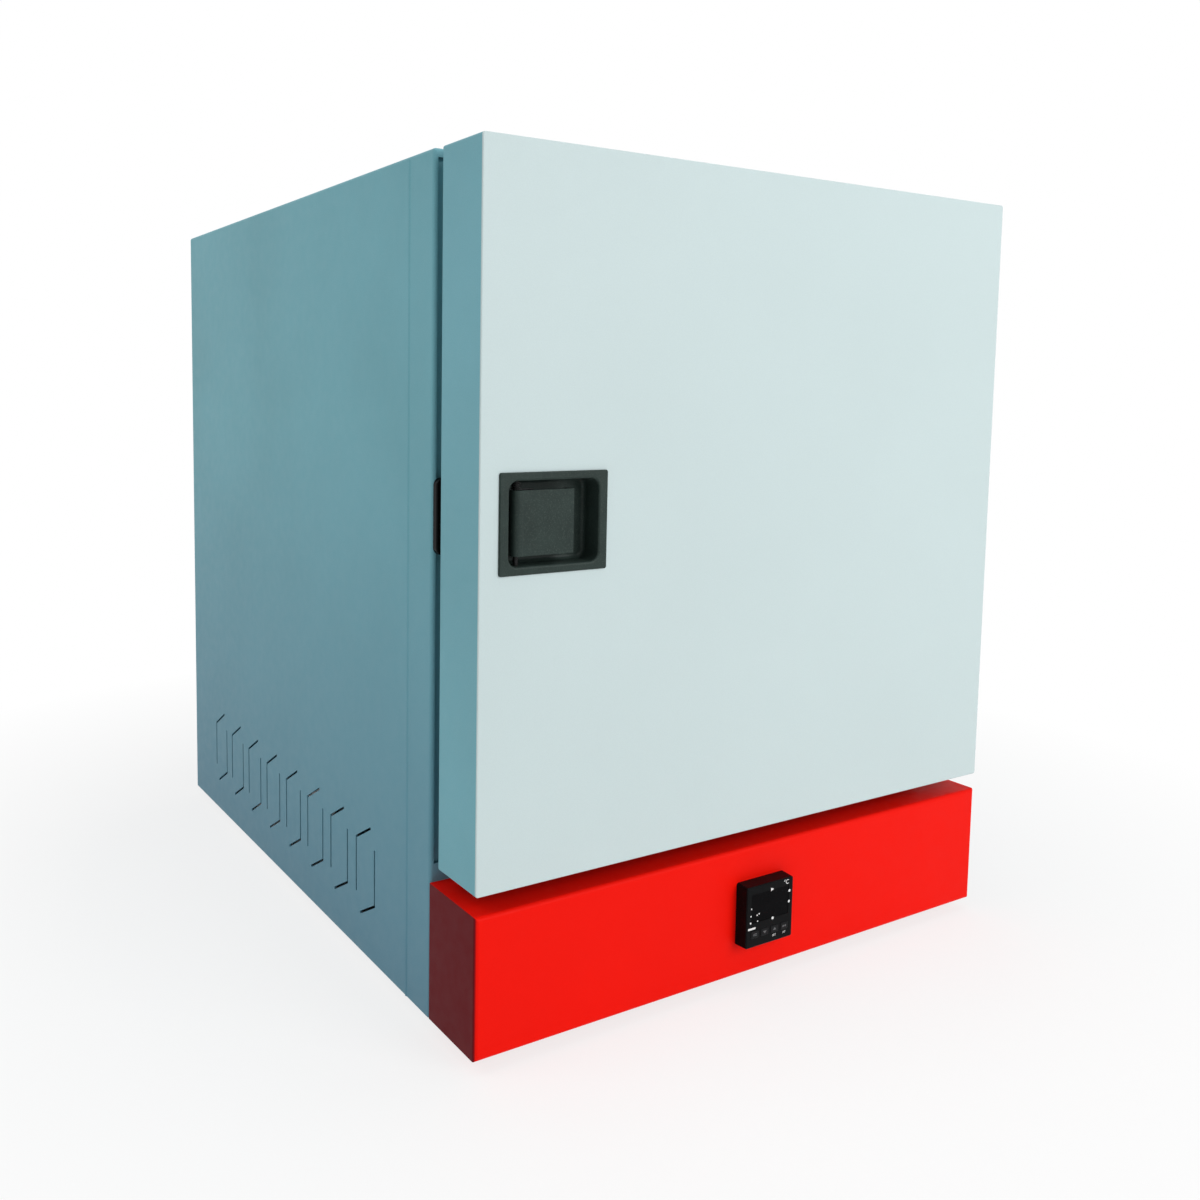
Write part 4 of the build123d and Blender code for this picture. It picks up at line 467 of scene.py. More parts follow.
@dataclass(frozen=True)
class GrainedCoat(Recipe):
    """Dark cast and painted metal whose surface is finely grained.

    Attributes:
        grain_highlight: Painted highlight on the tips of the grain.
        cloud: Size of the slow changes of tone.
        grain: Size of the grain.
        depth: Depth of the grain.
        roughness: Middle roughness.
        specular: Specular level.
    """

    grain_highlight: Colour
    cloud: float = 16 * MM
    grain: float = 0.8 * MM
    depth: float = 0.06 * MM
    roughness: float = 0.4
    specular: float = 0.15

    def wire(self, sheet: Sheet) -> None:
        """Add the paint's nodes."""
        tone = sheet.mottle(sheet.noise(self.cloud), self.colour, 0.88, 1.12)
        grain = sheet.noise(self.grain, detail=3.0, roughness=0.65)
        # Painted highlight: the grain's tips are coloured lighter.
        sheet.tint(tone, self.grain_highlight, grain, 0.6, (0.52, 0.75))
        sheet.gloss(grain, self.roughness)
        sheet.relief(grain, self.depth)
        sheet.set(Specular_IOR_Level=self.specular)


@dataclass(frozen=True)
class SoftRubber(Recipe):
    """Matt rubber or silicone with mould bloom.

    Attributes:
        bloom: Colour of the dusty bloom.
        patch: Size of a patch of bloom.
        roughness: Middle roughness.
        texture: Size of the surface texture.
        depth: Depth of the texture.
    """

    bloom: Colour
    patch: float = 6 * MM
    roughness: float = 0.7
    texture: float = 0.5 * MM
    depth: float = 0.03 * MM

    def wire(self, sheet: Sheet) -> None:
        """Add the rubber's nodes."""
        patches = sheet.noise(self.patch, detail=4.0)
        sheet.tint(self.colour, self.bloom, patches, 0.45, (0.42, 0.72))
        sheet.gloss(patches, self.roughness)
        sheet.relief(sheet.noise(self.texture), self.depth)
        sheet.set(Sheen_Weight=0.15)


@dataclass(frozen=True)
class MineralWool(Recipe):
    """Pressed mineral wool, fibres lying every way.

    Attributes:
        shade: Colour between the fibres.
        fibre: Thickness of a strand of fibres.
        fibre_depth: Depth of the relief that the strands give.
        tuft: Size of a tuft.
        tuft_depth: Depth of the relief that the tufts give.
        draw: How much shorter the noise is along a strand, as a factor.
    """

    shade: Colour
    fibre: float = 1.2 * MM
    fibre_depth: float = 0.8 * MM
    tuft: float = 18 * MM
    tuft_depth: float = 2.0 * MM
    draw: float = 0.2

    def wire(self, sheet: Sheet) -> None:
        """Add the wool's nodes."""
        along = sheet.noise(self.fibre, 4.0, sheet.stretched((self.draw, 1.0, 1.0)))
        across = sheet.noise(self.fibre, 4.0, sheet.stretched((1.0, 1.0, self.draw)))
        strands = sheet.node("Math", along, across, operation="MULTIPLY").outputs[0]
        sheet.tint(self.shade, self.colour, strands, span=(0.15, 0.35))
        fine = sheet.relief(strands, self.fibre_depth)
        sheet.relief(sheet.noise(self.tuft, detail=3.0), self.tuft_depth, after=fine)
        sheet.set(Roughness=0.95, Sheen_Weight=0.3)


@dataclass(frozen=True)
class PrintedInk(Recipe):
    """Thin printed mark with slightly uneven cover.

    Attributes:
        patch: Size of the thin spots.
        depth: Depth of the unevenness.
    """

    patch: float = 0.35 * MM
    depth: float = 0.004 * MM

    def wire(self, sheet: Sheet) -> None:
        """Add the ink's nodes."""
        cover = sheet.noise(self.patch)
        sheet.tint(self.colour, shaded(self.colour, 0.6), cover, share=0.3)
        sheet.relief(cover, self.depth)
        sheet.set(Roughness=0.5)


@dataclass(frozen=True)
class StudioPaper(Recipe):
    """White ground that keeps a soft shadow and shows white further off.

    Attributes:
        patch: Size of its slow changes of tone.
        lift: Share of plain white that is seen near the object.
        fade: Distances between which the ground fades to white.
    """

    patch: float = 300 * MM
    lift: float = 0.76
    fade: Span = (0.42, 0.85)

    def wire(self, sheet: Sheet) -> None:
        """Add the ground's nodes."""
        sheet.tint(self.colour, shaded(self.colour, 0.97), sheet.noise(self.patch))
        sheet.set(Roughness=0.9)
        glow = sheet.node("Emission", WHITE)
        reach = sheet.node("VectorMath", sheet.place, operation="LENGTH").outputs["Value"]
        lift = sheet.spread(reach, self.lift, 1.0, self.fade)
        share = sheet.node("Math", sheet.seen(), lift, operation="MULTIPLY").outputs[0]
        mix = sheet.node("MixShader", share, sheet.shader.outputs[0], glow.outputs[0])
        sheet.feed(sheet.output.inputs["Surface"], mix.outputs[0])


class Finish(Enum):
    """The oven's finishes, each with the recipe that makes it."""

    # Teal with painted shade darkening it towards the floor.
    TEAL = PowderCoat(
        "teal_powder_coat", (0.192, 0.455, 0.52), floor_shade_colour=(0.137, 0.297, 0.388)
    )
    TEAL_DOOR = PowderCoat("teal_door_coat", (0.208, 0.475, 0.545))
    PALE = PowderCoat(
        "pale_powder_coat", (0.61, 0.723, 0.728), drift=0.01, depth=0.03 * MM, speck=0.06
    )
    RED = PowderCoat(
        "red_enamel",
        (0.93, 0.007, 0.002),
        drift=0.02,
        depth=0.02 * MM,
        speck=0.05,
        specular=0.06,
        # Painted shade on the red panel's left and right faces.
        side_shade_colour=(0.125, 0.004, 0.008),
    )
    GALVANISED = ZincCoat("galvanised_sheet", (0.56, 0.58, 0.6))
    ZINC = ZincCoat("zinc_plating", (0.66, 0.66, 0.64), crystal=1.5 * MM, roughness=0.28)
    STAINLESS = BrushedSheet("stainless_sheet", (0.62, 0.61, 0.59), Grain.Y)
    STAINLESS_UPRIGHT = BrushedSheet("stainless_upright", (0.6, 0.59, 0.57), Grain.Z)
    LINER = BrushedSheet("stainless_liner", (0.63, 0.62, 0.6), Grain.X, roughness=0.26)
    WIRE = BrushedSheet(
        "plated_wire", (0.76, 0.76, 0.75), Grain.Y, line=0.8 * MM, roughness=0.14, stain_share=0.05
    )
    GROUND_STEEL = BrushedSheet("ground_steel", (0.5, 0.5, 0.5), Grain.Z, roughness=0.22)
    HOT_STEEL = BrushedSheet(
        "heat_darkened_steel",
        (0.2, 0.18, 0.17),
        Grain.Y,
        line=1.0 * MM,
        roughness=0.42,
        stain=(0.24, 0.13, 0.05),
        stain_share=0.6,
    )
    ALUMINIUM = BrushedSheet("extruded_aluminium", (0.7, 0.71, 0.72), Grain.Y, roughness=0.35)
    BRASS = BrushedSheet("nickelled_brass", (0.68, 0.6, 0.45), Grain.Y, roughness=0.2)
    LATCH = GrainedCoat("grained_latch_coat", (0.022, 0.036, 0.032), (0.07, 0.095, 0.08))
    BLACK_STEEL = GrainedCoat(
        "blackened_steel", (0.012, 0.013, 0.013), (0.03, 0.03, 0.03), roughness=0.25
    )
    MOTOR = GrainedCoat("motor_enamel", (0.05, 0.055, 0.06), (0.09, 0.095, 0.1), grain=2 * MM)
    GLOSS_BLACK = Moulding(
        "gloss_black_moulding", (0.004, 0.0045, 0.005), roughness=0.16, specular=0.05
    )
    SATIN_BLACK = Moulding(
        "satin_black_moulding", (0.007, 0.0075, 0.0085), roughness=0.34, specular=0.09
    )
    WINDOW = Moulding("tinted_window", (0.002, 0.002, 0.0025), roughness=0.2, specular=0.03)
    BOARD = Moulding("lacquered_board", (0.01, 0.09, 0.035), roughness=0.25, texture=3 * MM)
    RELAY = Moulding("relay_moulding", (0.48, 0.47, 0.43), roughness=0.45)
    CREAM = Moulding("terminal_moulding", (0.66, 0.63, 0.54), roughness=0.5)
    FOOT = SoftRubber("black_rubber", (0.012, 0.012, 0.013), (0.05, 0.05, 0.05))
    SILICONE = SoftRubber("red_silicone", (0.36, 0.05, 0.025), (0.45, 0.12, 0.08), roughness=0.55)
    WOOL = MineralWool("mineral_wool", (0.6, 0.55, 0.36), (0.3, 0.26, 0.15))
    WHITE_INK = PrintedInk("white_ink", (0.85, 0.87, 0.86))
    GREY_INK = PrintedInk("grey_ink", (0.11, 0.115, 0.12))
    PAPER = StudioPaper("studio_paper", (0.9, 0.9, 0.9))

    def paint(self, *pieces: Piece) -> None:
        """Give each piece this finish alone.

        Args:
            pieces: Objects to dress.
        """
        recipe: Recipe = self.value
        ready = bpy.data.materials.get(recipe.name) or recipe.material()
        for piece in pieces:
            if not piece.material_slots:
                piece.data.materials.append(ready)
            for slot in piece.material_slots:
                slot.material = ready
            log.info("%s: %s", piece.name, recipe.name)


# Mesh helpers


def in_scene(name: str, data: bpy.types.ID) -> Piece:
    """Make an object of its data and put it in the scene.

    Args:
        name: Name of the object.
        data: Its mesh, curve, light or camera.

    Returns:
        The new object.
    """
    piece = bpy.data.objects.new(name, data)
    bpy.context.scene.collection.objects.link(piece)
    return piece


def mesh_piece(name: str, mesh: BMesh, smooth: float = 35.0) -> Piece:
    """Turn mesh data into an object in the scene.

    Args:
        name: Name of the piece.
        mesh: Mesh data, freed here.
        smooth: Angle below which edges are shaded smooth, in degrees.

    Returns:
        The new object.
    """
    data = bpy.data.meshes.new(name)
    bmesh.ops.recalc_face_normals(mesh, faces=mesh.faces)
    for face in mesh.faces:
        face.smooth = True
    for edge in mesh.edges:
        if len(edge.link_faces) != 2 or edge.calc_face_angle(0.0) > math.radians(smooth):
            edge.smooth = False
    mesh.to_mesh(data)
    mesh.free()
    return in_scene(name, data)


def evaluated_mesh(piece: Piece) -> bpy.types.Mesh:
    """New mesh of what a curve, letters or an object with modifiers looks like."""
    bpy.context.view_layer.update()
    view = piece.evaluated_get(bpy.context.evaluated_depsgraph_get())
    return bpy.data.meshes.new_from_object(view)


def curve_mesh(curve: bpy.types.Curve) -> BMesh:
    """Turn a curve or letters into mesh data.

    Args:
        curve: The curve, removed here.

    Returns:
        Its mesh data.
    """
    holder = in_scene("holder", curve)
    data = evaluated_mesh(holder)
    mesh = bmesh.new()
    mesh.from_mesh(data)
    bpy.data.objects.remove(holder)
    bpy.data.curves.remove(curve)
    bpy.data.meshes.remove(data)
    return mesh


def placed(mesh: BMesh, place: Matrix) -> BMesh:
    """Move mesh data to its place and return it."""
    bmesh.ops.transform(mesh, matrix=place, verts=mesh.verts)
    return mesh


def add_mesh(mesh: BMesh, other: BMesh) -> None:
    """Add one mesh's faces to another.

    Args:
        mesh: Mesh to add to.
        other: Mesh to add, freed here.
    """
    carrier = bpy.data.meshes.new("carrier")
    other.to_mesh(carrier)
    other.free()
    mesh.from_mesh(carrier)
    bpy.data.meshes.remove(carrier)


def bridge(mesh: BMesh, first: Sequence[BMVert], second: Sequence[BMVert]) -> None:
    """Join two rings of as many points by a band of faces.

    Args:
        mesh: Mesh to add to.
        first: Points of one ring.
        second: Points of the other.
    """
    count = len(first)
    for i in range(count):
        j = (i + 1) % count
        mesh.faces.new((first[i], first[j], second[j], second[i]))


def turned(mesh: BMesh, profile: Outline, steps: int) -> None:
    """Add a solid of revolution about the local Z axis, closed by a point at each end.

    Args:
        mesh: Mesh to add to.
        profile: Radius and height of each ring, from one end to the other.
        steps: Points round a ring.
    """
    first, *middle, last = profile
    rings = [
        [mesh.verts.new((x, y, height)) for x, y in disc(0.0, 0.0, radius, steps)]
        for radius, height in middle
    ]
    for lower, upper in zip(rings, rings[1:]):
        bridge(mesh, lower, upper)
    for (_, height), ring in ((first, rings[0]), (last, rings[-1])):
        tip = mesh.verts.new((0, 0, height))
        for i in range(steps):
            mesh.faces.new((tip, ring[i], ring[(i + 1) % steps]))


def slab(mesh: BMesh, outline: Outline, low: float, high: float) -> None:
    """Add a flat outline drawn up to a thickness along local Z.

    Args:
        mesh: Mesh to add to.
        outline: Points in order, counter-clockwise seen from +Z.
        low: Height of the underside.
        high: Height of the top.
    """
    bottom = [mesh.verts.new((x, y, low)) for x, y in outline]
    top = [mesh.verts.new((x, y, high)) for x, y in outline]
    mesh.faces.new(list(reversed(bottom)))
    mesh.faces.new(top)
    bridge(mesh, bottom, top)


def disc(cx: float, cy: float, radius: float, steps: int = 20) -> Outline:
    """Points round a circle, counter-clockwise."""
    angles = [2 * math.pi * i / steps for i in range(steps)]
    return [(cx + radius * math.cos(a), cy + radius * math.sin(a)) for a in angles]


def bar(cx: float, cy: float, width: float, height: float) -> Outline:
    """Corners of a rectangle round a middle, counter-clockwise."""
    w, h = width / 2, height / 2
    return [(cx - w, cy - h), (cx + w, cy - h), (cx + w, cy + h), (cx - w, cy + h)]


def in_mm(outline: Outline) -> Outline:
    """An outline given in millimetres, in metres."""
    return [(x * MM, y * MM) for x, y in outline]


def words(text: str, height: float) -> BMesh:
    """Flat letters in the built-in face, centred on the origin.

    Args:
        text: The letters.
        height: Height of a capital.

    Returns:
        Mesh data of the letters, a little thick along Z.
    """
    curve = bpy.data.curves.new("letters", "FONT")
    curve.body = text
    curve.size = height / CAP_SHARE
    curve.extrude = LETTER_DEPTH
    curve.align_x = "CENTER"
    curve.align_y = "CENTER"
    return curve_mesh(curve)


def islands(piece: Piece) -> list[tuple[Vector, Vector]]:
    """Boxes of the separate solids in a piece's mesh.

    Args:
        piece: Object whose mesh is read.

    Returns:
        Lowest and highest corner of each solid, in order of place.
    """
    mesh = bmesh.new()
    mesh.from_mesh(piece.data)
    bmesh.ops.remove_doubles(mesh, verts=mesh.verts, dist=1e-6)
    left = set(mesh.verts)
    boxes: list[tuple[Vector, Vector]] = []
    while left:
        stack = [left.pop()]
        low, high = stack[0].co.copy(), stack[0].co.copy()
        while stack:
            vert = stack.pop()
            low = Vector(map(min, low, vert.co))
            high = Vector(map(max, high, vert.co))
            for edge in vert.link_edges:
                other = edge.other_vert(vert)
                if other in left:
                    left.remove(other)
                    stack.append(other)
        boxes.append((low, high))
    mesh.free()
    return sorted(boxes, key=lambda box: tuple(round(v, 4) for v in box[0]))


def front_of(node: str) -> Vector:
    """Middle of the front side of a CAD node's box."""
    low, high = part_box(node)
    return Vector(((low.x + high.x) / 2, low.y, (low.z + high.z) / 2))


# Sub-assemblies


@dataclass
class Dresser:
    """A sub-assembly that gives its CAD nodes their finishes.

    Attributes:
        nodes: CAD nodes by name.
        looks: Names of this sub-assembly's nodes under each finish.
    """

    nodes: dict[str, Piece]
    looks: ClassVar[dict[Finish, tuple[str, ...]]] = {}

    def build(self) -> None:
        """Give each node its finish and make the pieces that go with it."""
        for finish, names in self.looks.items():
            finish.paint(*(self.nodes[name] for name in names))
        self.make()

    def make(self) -> None:
        """Make the pieces that the CAD part has none of, where there are such."""


class Cabinet(Dresser):
    """Casing, frame, base, feet and rear cover."""

    looks = {
        Finish.TEAL: ("outer_casing", "rear_cover", "front_frame"),
        Finish.GALVANISED: ("base_plate", "bay_divider"),
        Finish.FOOT: ("feet",),
    }


@dataclass
class ControlFront(Dresser):
    """Red panel box and the instrument set in it.

    The marks are given in millimetres, across and up from the middle of the face that
    carries them.

    Attributes:
        lift: How far the printed marks stand on their face.
        dots: Middle and radius of each round mark.
        arrow: Outline of the arrow mark.
        dash: Outline of the long mark.
        legends: Each word, the height of its capitals, and its middle.
        key_signs: Outlines of the sign on each key, from left to right.
    """

    lift: float = 0.03 * MM
    dots: tuple[tuple[float, float, float], ...] = (
        (19.6, 12.9, 1.05), (19.4, 4.6, 1.05), (2.9, -4.8, 1.1),
        (-18.8, 6.9, 0.55), (-19.2, 1.3, 0.6), (-13.0, 1.0, 0.6),
        (-11.0, 1.7, 0.6), (-19.4, -3.9, 0.75), (-12.4, -3.7, 0.55),
    )
    arrow: Outline = ((0.4, 16.6), (3.4, 17.9), (0.4, 19.2))
    dash: Outline = tuple(bar(-18, -8.6, 7.4, 1.5))
    legends: tuple[tuple[str, float, float, float], ...] = (
        ("°C", 3.4, 16.2, 20.2),
        ("SET", 1.7, 5.0, -18.6),
        ("AT", 1.7, 15.2, -18.6),
    )
    key_signs: tuple[tuple[Outline, ...], ...] = (
        (bar(0, 0.55, 3.6, 0.55), bar(0, -0.55, 3.6, 0.55), bar(-1.5, 0, 0.6, 1.6)),
        (((-1.7, 0.8), (0.0, -1.2), (1.7, 0.8)),),
        (((-1.7, -0.8), (1.7, -0.8), (0.0, 1.2)),),
        (disc(-1.1, 0, 0.8, 14), disc(1.1, 0, 0.8, 14), bar(0, 0, 1.6, 0.5)),
    )

    looks = {
        Finish.RED: ("control_panel",),
        Finish.GLOSS_BLACK: ("controller_bezel",),
        Finish.WINDOW: ("controller_display",),
        Finish.BOARD: ("controller_board",),
        Finish.SATIN_BLACK: (
            "controller_housing",
            "controller_clamp",
            *(f"controller_key_{number}" for number in range(1, 5)),
        ),
    }

    def make(self) -> None:
        """Print the instrument's marks and the signs on its keys."""
        self.print_marks()
        for number, sign in enumerate(self.key_signs, start=1):
            self.print_key(number, sign)

    def print_marks(self) -> None:
        """Make the white marks round the instrument's face."""
        mesh = bmesh.new()
        rounds = [disc(x, z, radius) for x, z, radius in self.dots]
        for outline in (*rounds, self.arrow, self.dash):
            slab(mesh, in_mm(outline), -self.lift, self.lift)
        for text, height, x, z in self.legends:
            spot = Matrix.Translation((x * MM, z * MM, 0))
            add_mesh(mesh, placed(words(text, height * MM), spot))
        placed(mesh, Matrix.Translation(front_of("controller_bezel")) @ Facing.FRONT.turn())
        marks = mesh_piece("controller_marks", mesh)
        Finish.WHITE_INK.paint(marks)
        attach(marks, "oven_body")

    def print_key(self, number: int, sign: Sequence[Outline]) -> None:
        """Make the grey sign on a key.

        Args:
            number: Number of the key.
            sign: Outlines of the sign.
        """
        mesh = bmesh.new()
        for outline in sign:
            slab(mesh, in_mm(outline), -self.lift, self.lift)
        face = front_of(f"controller_key_{number}")
        placed(mesh, Matrix.Translation(face) @ Facing.FRONT.turn())
        mark = mesh_piece(f"key_sign_{number}", mesh)
        Finish.GREY_INK.paint(mark)
        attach(mark, f"key_{number}")


@dataclass
class Door(Dresser):
    """Insulated door with its liner and its seal.

    Attributes:
        seal_width: Width of the strip that the seal lies on.
        corner: Radius of the seal's inner corners.
        corner_steps: Steps round a corner.
        seal_profile: Across and out, from the seal's opening outwards, in millimetres.
    """

    seal_width: float = 14 * MM
    corner: float = 12 * MM
    corner_steps: int = 8
    seal_profile: Outline = (
        (0.2, 0.05), (13.8, 0.05), (13.8, 2.2), (12.4, 2.8), (12.9, 5.0), (12.6, 8.0),
        (11.4, 11.0), (9.4, 13.1), (7.6, 13.7), (7.0, 13.2), (6.4, 13.7), (4.6, 13.1),
        (2.6, 11.0), (1.4, 8.0), (1.1, 5.0), (1.6, 2.8), (0.2, 2.2),
    )

    looks = {
        Finish.PALE: ("door_skin",),
        Finish.TEAL_DOOR: ("door_shell",),
        Finish.LINER: ("door_liner",),
        Finish.WOOL: ("door_insulation",),
    }

    def make(self) -> None:
        """Sweep the ribbed seal round its rounded square, in the place of the plain one."""
        low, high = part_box("door_gasket")
        straight = (high.x - low.x) / 2 - self.seal_width - self.corner
        middle = front_of("door_gasket")
        mesh = bmesh.new()
        rings: list[list[BMVert]] = []
        for quarter in range(4):
            turn = Matrix.Rotation(math.pi / 2 * quarter, 3, "Y")
            for i in range(self.corner_steps + 1):
                angle = math.pi / 2 * i / self.corner_steps
                ring = []
                for across, out in in_mm(self.seal_profile):
                    reach = self.corner + across
                    x = straight + reach * math.sin(angle)
                    z = straight + reach * math.cos(angle)
                    spot = turn @ Vector((x, 0, z)) + middle + Vector((0, out, 0))
                    ring.append(mesh.verts.new(spot))
                rings.append(ring)
        for first, second in zip(rings, rings[1:] + rings[:1]):
            bridge(mesh, first, second)
        seal = mesh_piece("ribbed_door_seal", mesh, smooth=50.0)
        Finish.SILICONE.paint(seal)
        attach(seal, "door")
        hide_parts("door_gasket")


@dataclass
class PaddleLatch(Dresser):
    """Flush latch: pan, paddle, pin, spring, bolt and guide, and the keeper it holds.

    Attributes:
        coil: Heights of the coil's two ends above the pin's middle.
        coil_radius: Radius of the coil.
        turns: Number of turns.
        turn_steps: Steps in a turn.
        wire: Radius of the spring's wire.
        lower_leg: Reach of the lower leg from the axis.
        upper_leg: Reach of the upper leg from the coil's end, across and back.
    """

    coil: Span = (21.9 * MM, 26.8 * MM)
    coil_radius: float = 3.0 * MM
    turns: float = 3.5
    turn_steps: int = 20
    wire: float = 0.45 * MM
    lower_leg: float = 11 * MM
    upper_leg: Span = (8 * MM, 1.5 * MM)

    looks = {
        Finish.LATCH: ("latch_pan", "latch_paddle"),
        Finish.BLACK_STEEL: ("latch_pin",),
        Finish.ZINC: ("latch_bolt", "latch_guide"),
        Finish.GLOSS_BLACK: ("keeper",),
    }

    def spring_line(self) -> list[Vector]:
        """Middle line of the spring's wire, from one leg's end to the other's.

        Returns:
            Points along the line.
        """
        low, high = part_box("latch_pin")
        pivot = (low + high) / 2
        start, end = self.coil
        total = round(self.turns * self.turn_steps)
        points = [pivot + Vector((self.lower_leg, -self.coil_radius, start))]
        for i in range(total + 1):
            angle = -math.pi / 2 - 2 * math.pi * i / self.turn_steps
            x, y = self.coil_radius * math.cos(angle), self.coil_radius * math.sin(angle)
            points.append(pivot + Vector((x, y, start + (end - start) * i / total)))
        points.append(points[-1] + Vector((*self.upper_leg, 0)))
        return points

    def make(self) -> None:
        """Make the torsion spring with its two legs as one round wire."""
        points = self.spring_line()
        curve = bpy.data.curves.new("latch_coil", "CURVE")
        curve.dimensions = "3D"
        curve.bevel_depth = self.wire
        curve.bevel_resolution = 4
        curve.use_fill_caps = True
        line = curve.splines.new("POLY")
        line.points.add(len(points) - 1)
        for spot, place in zip(line.points, points):
            spot.co = (*place, 1.0)
        coil = mesh_piece("latch_torsion_spring", curve_mesh(curve), smooth=60.0)
        Finish.BLACK_STEEL.paint(coil)
        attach(coil, "door")
        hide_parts("latch_spring")


class Hinges(Dresser):
    """Two leaf hinges on the right."""

    looks = {
        Finish.ZINC: ("body_hinge_leaves", "door_hinge_leaves"),
        Finish.GROUND_STEEL: ("hinge_pins",),
    }


class Chamber(Dresser):
    """Stainless chamber, its wool jacket, runners and shelves."""

    looks = {
        Finish.STAINLESS: ("chamber",),
        Finish.WOOL: ("chamber_insulation",),
        Finish.STAINLESS_UPRIGHT: ("left_shelf_runners", "right_shelf_runners"),
        Finish.WIRE: ("lower_shelf", "upper_shelf"),
    }


class AirSystem(Dresser):
    """Baffle, heater, fan, probe, exhaust duct and shutter."""

    looks = {
        Finish.STAINLESS_UPRIGHT: ("air_baffle", "temperature_probe", "exhaust_duct"),
        Finish.HOT_STEEL: ("heater_element",),
        Finish.LINER: ("fan_impeller",),
        Finish.GROUND_STEEL: ("fan_shaft",),
        Finish.GALVANISED: ("motor_bracket",),
        Finish.MOTOR: ("fan_motor",),
        Finish.ZINC: ("vent_shutter", "shutter_pin"),
    }


@dataclass
class ElectricalBay(Dresser):
    """Relay on its sink, terminals, and the inlet with its switch.

    Attributes:
        rocker_axis: Place of the rocker's axis.
        crown: How far the ridge between the rocker's faces lies from its axis.
        crown_lean: How far the ridge looks down at rest, in degrees.
        face_leans: How far the upper and the lower face look down at rest, in degrees.
        sign_reach: Distance of a sign's middle from the ridge.
        sign_lift: Half the thickness of a sign.
        on_bar: Width and height of the on sign.
        off_ring: Outer and inner radius of the off sign.
        ring_steps: Points round the off sign.
    """

    rocker_axis: Vector
    crown: float = 2.2 * MM
    crown_lean: float = 8.0
    face_leans: Span = (16.0, 0.0)
    sign_reach: float = 2.9 * MM
    sign_lift: float = 0.02 * MM
    on_bar: Span = (0.7 * MM, 2.8 * MM)
    off_ring: Span = (1.5 * MM, 0.95 * MM)
    ring_steps: int = 24

    looks = {
        Finish.ALUMINIUM: ("heat_sink",),
        Finish.RELAY: ("solid_state_relay",),
        Finish.CREAM: ("terminal_block",),
        Finish.SATIN_BLACK: ("power_inlet", "fuse_carrier"),
        Finish.BRASS: ("inlet_pins",),
        Finish.GLOSS_BLACK: ("power_rocker",),
    }

    def make(self) -> None:
        """Print the on bar and the off ring on the rocker's two faces."""
        upper, lower = self.face_leans
        mesh = bmesh.new()
        slab(mesh, bar(0, 0, *self.on_bar), -self.sign_lift, self.sign_lift)
        placed(mesh, self.face_place(upper, side=1))
        ring = bmesh.new()
        for height in (-self.sign_lift, self.sign_lift):
            rims = [
                [ring.verts.new((x, y, height)) for x, y in disc(0, 0, radius, self.ring_steps)]
                for radius in self.off_ring
            ]
            bridge(ring, *rims)
        add_mesh(mesh, placed(ring, self.face_place(lower, side=-1)))
        marks = mesh_piece("rocker_signs", mesh)
        Finish.WHITE_INK.paint(marks)
        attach(marks, "rocker")

    def face_place(self, lean: float, side: int) -> Matrix:
        """Where a sign lies on one of the rocker's faces.

        Args:
            lean: How far that face looks down, in degrees.
            side: 1 for the upper face, -1 for the lower.

        Returns:
            Matrix from the sign's own plane to the frame.
        """
        rest, tilt = math.radians(self.crown_lean), math.radians(lean)
        ridge = self.rocker_axis + Vector((0, math.cos(rest), -math.sin(rest))) * self.crown
        spot = ridge + Vector((0, math.sin(tilt), side * math.cos(tilt))) * self.sign_reach
        normal = Vector((0, math.cos(tilt), -math.sin(tilt)))
        across = Vector((-1, 0, 0))
        turn = axes(across, normal.cross(across), normal)
        return Matrix.Translation(spot + normal * self.sign_lift) @ turn


